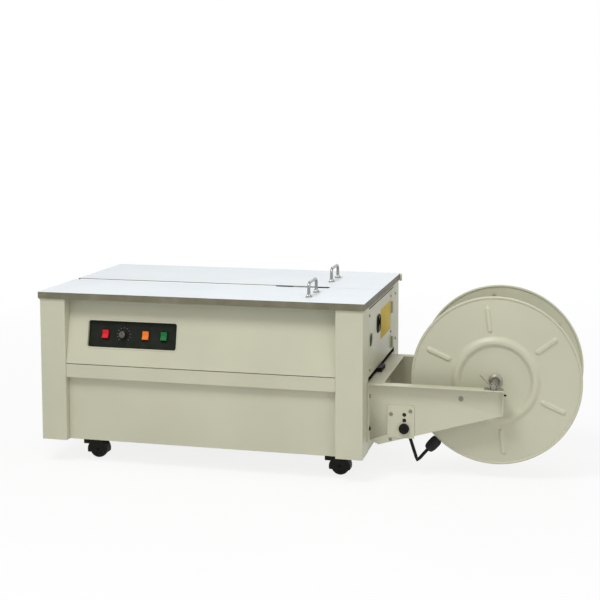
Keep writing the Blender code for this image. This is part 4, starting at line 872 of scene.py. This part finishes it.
def louvre(centre_x, face_y, z):
    """A pressed hood: out = rise times sin(pi u) ^ 0.35 times sin v, closed by a flat back on the panel."""
    u = np.linspace(0, 1, 17)
    v = np.linspace(0, pi, 9)
    swell = np.sin(pi * u) ** LOUVRE_END
    x = centre_x + (u - 0.5) * LOUVRE_LENGTH
    out = LOUVRE_RISE * swell[:, None] * np.sin(v)[None, :]
    height = z - LOUVRE_HALF * np.cos(v)[None, :] * np.ones_like(out)
    along = np.broadcast_to(x[:, None], out.shape)
    front = np.stack([along, face_y + 0.0002 + np.maximum(out, 0.0), height], -1)
    back = front.copy()
    back[..., 1] = face_y + 0.0001
    points = np.concatenate([front, back[:, ::-1]], 1)
    faces = [list(face) for face in grid_faces(17, 18, False, True)]
    faces += [list(range(18)), list(range(16 * 18, 17 * 18))]
    return points.reshape(-1, 3), faces


def vents():
    """Two columns of louvres in the rear panel."""
    low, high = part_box("rear_panel")
    parts = [louvre(low.x + (high.x - low.x) * column, high.y, low.z + LOUVRE_START + row * LOUVRE_PITCH)
             for row in range(LOUVRE_ROWS) for column in LOUVRE_COLUMNS]
    mesh_piece("rear_louvres", *gathered(parts), "cabinet", "cream_paint")


# ---------------------------------------------------------------- casters
CROWN_ANGLE = 68
HUB_SHARE = 0.72
HUB_BORE = 0.0044
CASTER_PIN = 0.0046
PIN_PLACE = 0.78


def caster_pieces(index):
    """A crowned tyre profile with a dished hub, turned about the wheel's pin, under its rounded hood."""
    fork = f"caster_fork_{index}"
    bevelled(fork, 0.0016, 3)
    node = f"caster_wheel_{index}"
    low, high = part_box(node)
    centre = (low + high) / 2
    radius = (high.z - low.z) / 2
    half = (high.y - low.y) / 2
    rim = radius * HUB_SHARE
    crown = np.radians(np.linspace(CROWN_ANGLE, -CROWN_ANGLE, 9))
    tread = [(radius - half * 0.5 + half * 0.5 * cos(a), half * 0.98 * sin(a) / sin(radians(CROWN_ANGLE)))
             for a in crown]
    hub = [(HUB_BORE, half * 0.95), (0.008, half * 0.95), (0.0095, half * 0.62), (rim - 0.003, half * 0.62),
           (rim, half * 0.90)]
    profile = hub + tread + [(r, -h) for r, h in reversed(hub)]
    tyre = turned(profile, centre, (0, 1, 0), 56)
    wheel = mesh_piece(node + "_tyre", *tyre, BODY_OF[node], "rubber", smooth=40)
    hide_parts(node)
    fork_low, fork_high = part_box(fork)
    for side, sign in (("a", -1), ("b", 1)):
        place = (centre.x, centre.y + sign * ((fork_high.y - fork_low.y) / 2 * PIN_PLACE), centre.z)
        mesh_piece(f"caster_pin_{index}_{side}", *screw(place, (0, sign, 0), CASTER_PIN, 0.003),
                   f"caster_{index}", "black_steel")


# ---------------------------------------------------------------- strapping head and drive
FIN_COUNT = 19
FIN_SPAN = (0.16, 0.68)
BELL_SHARE = 0.93
SHAFT_BORE = 0.0076
BORE_START = 0.80


def motor_pieces():
    """A zigzag profile of cooling fins between two plain end bells, turned about the motor's axis, with its
    foot and its terminal cover."""
    low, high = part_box("motor")
    axis = Vector(JOINT["motor_spin"]["pos_m"])
    radius = high.z - axis.z
    length = high.x - low.x
    start, span = FIN_SPAN
    fins = []
    for step in range(FIN_COUNT):
        x = length * (start + span * step / FIN_COUNT)
        fins += [(radius * 0.90, x), (radius * 0.90, x + 0.0016), (radius * 0.995, x + 0.0020),
                 (radius * 0.995, x + 0.0034)]
    bell = radius * BELL_SHARE
    outer = [(radius * 0.80, 0.0), (bell, 0.004), (bell, length * 0.15)] + fins
    outer += [(bell, length * 0.86), (bell, length - 0.004), (radius * 0.80, length)]
    bore = length * BORE_START
    profile = [(SHAFT_BORE, bore), (SHAFT_BORE, length)] + outer[::-1] + [(ON_AXIS, 0.0), (ON_AXIS, bore)]
    motor = mesh_piece("motor_finned", *turned(profile, (low.x, axis.y, axis.z), (1, 0, 0), 64), "cabinet",
                       "motor_paint")
    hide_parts("motor")
    foot = slab(length * 0.55, 0.080, axis.z - radius * 0.75 - low.z, 0.006,
                ((low.x + high.x) / 2, axis.y, low.z), (1, 0, 0), (0, 1, 0), 0.001)
    mesh_piece("motor_foot", *foot, "cabinet", "motor_paint")
    cover = slab(0.060, 0.046, 0.020, 0.004, (low.x + length * 0.45, axis.y, axis.z + radius * 0.90),
                 (1, 0, 0), (0, 1, 0), 0.002)
    mesh_piece("motor_terminal_cover", *cover, "cabinet", "black_plastic")


def head_pieces():
    """The strapping head's own parts with their edges rounded, and the motor."""
    for node in ("head_frame", "press_left", "press_centre", "press_right", "slide_plate", "heater_blade",
                 "cam_shaft", "motor_pulley", "drive_belt", "feed_roller", "pinch_roller", "feed_bracket"):
        bevelled(node, 0.0003 if node in ("slide_plate", "heater_blade") else 0.0005, 2)
    motor_pieces()


# ---------------------------------------------------------------- stage
CAMERA_PLACE = Vector((LEFT_X + 1.455, FRONT_Y - 2.854, TOP_Z + 0.500))
CAMERA_YAW = radians(13.06)
CAMERA_PITCH = radians(5.11)
CAMERA_LENS = 69.6
CAMERA_SHIFT = (-0.036, -0.15)
SENSOR = 36.0
LAMPS = (("key", (-0.5, -1.9, 3.1), (0.1, 0, 0.25), 1.2, 60),
         ("fill", (2.6, -1.8, 1.6), (0.2, 0, 0.25), 2.0, 15),
         ("back", (0.4, 2.6, 2.4), (0, 0, 0.3), 1.8, 18))
FLOOR_SIZE = 14
FLOOR_COLOUR = (0.86, 0.86, 0.86, 1)
FLOOR_GLOW = 0.84
FADE_START = 0.9
FADE_STOP = 3.0
WORLD_LEVEL = 0.50
WORLD_SEEN = 1.0


def add_light(name, place, target, size, power):
    """A round area lamp of a diameter in metres and a power in watts, aimed at a target."""
    data = bpy.data.lights.new(name, "AREA")
    data.shape = "DISK"
    data.size = size
    data.energy = power
    light = bpy.data.objects.new(name, data)
    light.location = place
    light.rotation_euler = (Vector(target) - Vector(place)).to_track_quat("-Z", "Y").to_euler()
    bpy.context.scene.collection.objects.link(light)


def seen_directly(tree):
    """One for a ray that shows a surface: straight from the camera, in a reflection or through glass."""
    path = tree.nodes.new("ShaderNodeLightPath")
    latest = path.outputs["Is Camera Ray"]
    for kind in ("Is Glossy Ray", "Is Transmission Ray"):
        either = tree.nodes.new("ShaderNodeMath")
        either.operation = "MAXIMUM"
        tree.links.new(latest, either.inputs[0])
        tree.links.new(path.outputs[kind], either.inputs[1])
        latest = either.outputs[0]
    return latest


def floor_finish():
    """Pale and matt under a white glow where it is seen: partly so nearby, which keeps the shadow."""
    finish = bpy.data.materials.new("pale_floor")
    finish.use_nodes = True
    tree = finish.node_tree
    tree.nodes.clear()
    output = tree.nodes.new("ShaderNodeOutputMaterial")
    diffuse = tree.nodes.new("ShaderNodeBsdfDiffuse")
    diffuse.inputs["Color"].default_value = FLOOR_COLOUR
    glow = tree.nodes.new("ShaderNodeEmission")
    mix = tree.nodes.new("ShaderNodeMixShader")
    place = tree.nodes.new("ShaderNodeTexCoord")
    away = tree.nodes.new("ShaderNodeVectorMath")
    away.operation = "LENGTH"
    fade = tree.nodes.new("ShaderNodeMapRange")
    fade.inputs["From Min"].default_value = FADE_START
    fade.inputs["From Max"].default_value = FADE_STOP
    fade.inputs["To Min"].default_value = FLOOR_GLOW
    tree.links.new(place.outputs["Object"], away.inputs[0])
    tree.links.new(away.outputs["Value"], fade.inputs["Value"])
    share = tree.nodes.new("ShaderNodeMath")
    share.operation = "MULTIPLY"
    tree.links.new(fade.outputs["Result"], share.inputs[1])
    tree.links.new(seen_directly(tree), share.inputs[0])
    tree.links.new(share.outputs[0], mix.inputs["Fac"])
    tree.links.new(diffuse.outputs["BSDF"], mix.inputs[1])
    tree.links.new(glow.outputs["Emission"], mix.inputs[2])
    tree.links.new(mix.outputs["Shader"], output.inputs["Surface"])
    return finish


def studio_world():
    """A white surround, at a lower level where it only lights than where it is seen."""
    world = bpy.data.worlds.new("studio")
    bpy.context.scene.world = world
    world.use_nodes = True
    tree = world.node_tree
    background = tree.nodes["Background"]
    background.inputs["Color"].default_value = (1, 1, 1, 1)
    strength = tree.nodes.new("ShaderNodeMapRange")
    strength.inputs["To Min"].default_value = WORLD_LEVEL
    strength.inputs["To Max"].default_value = WORLD_SEEN
    tree.links.new(seen_directly(tree), strength.inputs["Value"])
    tree.links.new(strength.outputs["Result"], background.inputs["Strength"])


def add_camera():
    """The camera at its place, turned and tipped, with its lens and shift."""
    data = bpy.data.cameras.new("camera")
    data.lens = CAMERA_LENS
    data.sensor_width = SENSOR
    data.shift_x, data.shift_y = CAMERA_SHIFT
    camera = bpy.data.objects.new("camera", data)
    camera.location = CAMERA_PLACE
    camera.rotation_euler = (pi / 2 - CAMERA_PITCH, 0, CAMERA_YAW)
    bpy.context.scene.collection.objects.link(camera)
    bpy.context.scene.camera = camera


def stage():
    """The floor, the world, the lamps and the camera, shown in the Standard view transform."""
    bpy.ops.mesh.primitive_plane_add(size=FLOOR_SIZE, location=(0, 0, 0))
    floor = bpy.context.object
    floor.name = "floor"
    floor.data.materials.append(floor_finish())
    studio_world()
    for lamp in LAMPS:
        add_light(*lamp)
    add_camera()
    bpy.context.scene.view_settings.view_transform = "Standard"


stage()
cabinet_pieces()
vents()
side_pieces()
table_pieces()
control_pieces()
bracket_pieces()
reel_pieces()
for caster_index in range(1, 5):
    caster_pieces(caster_index)
head_pieces()
bevelled("reel_core", 0.0008, 2)
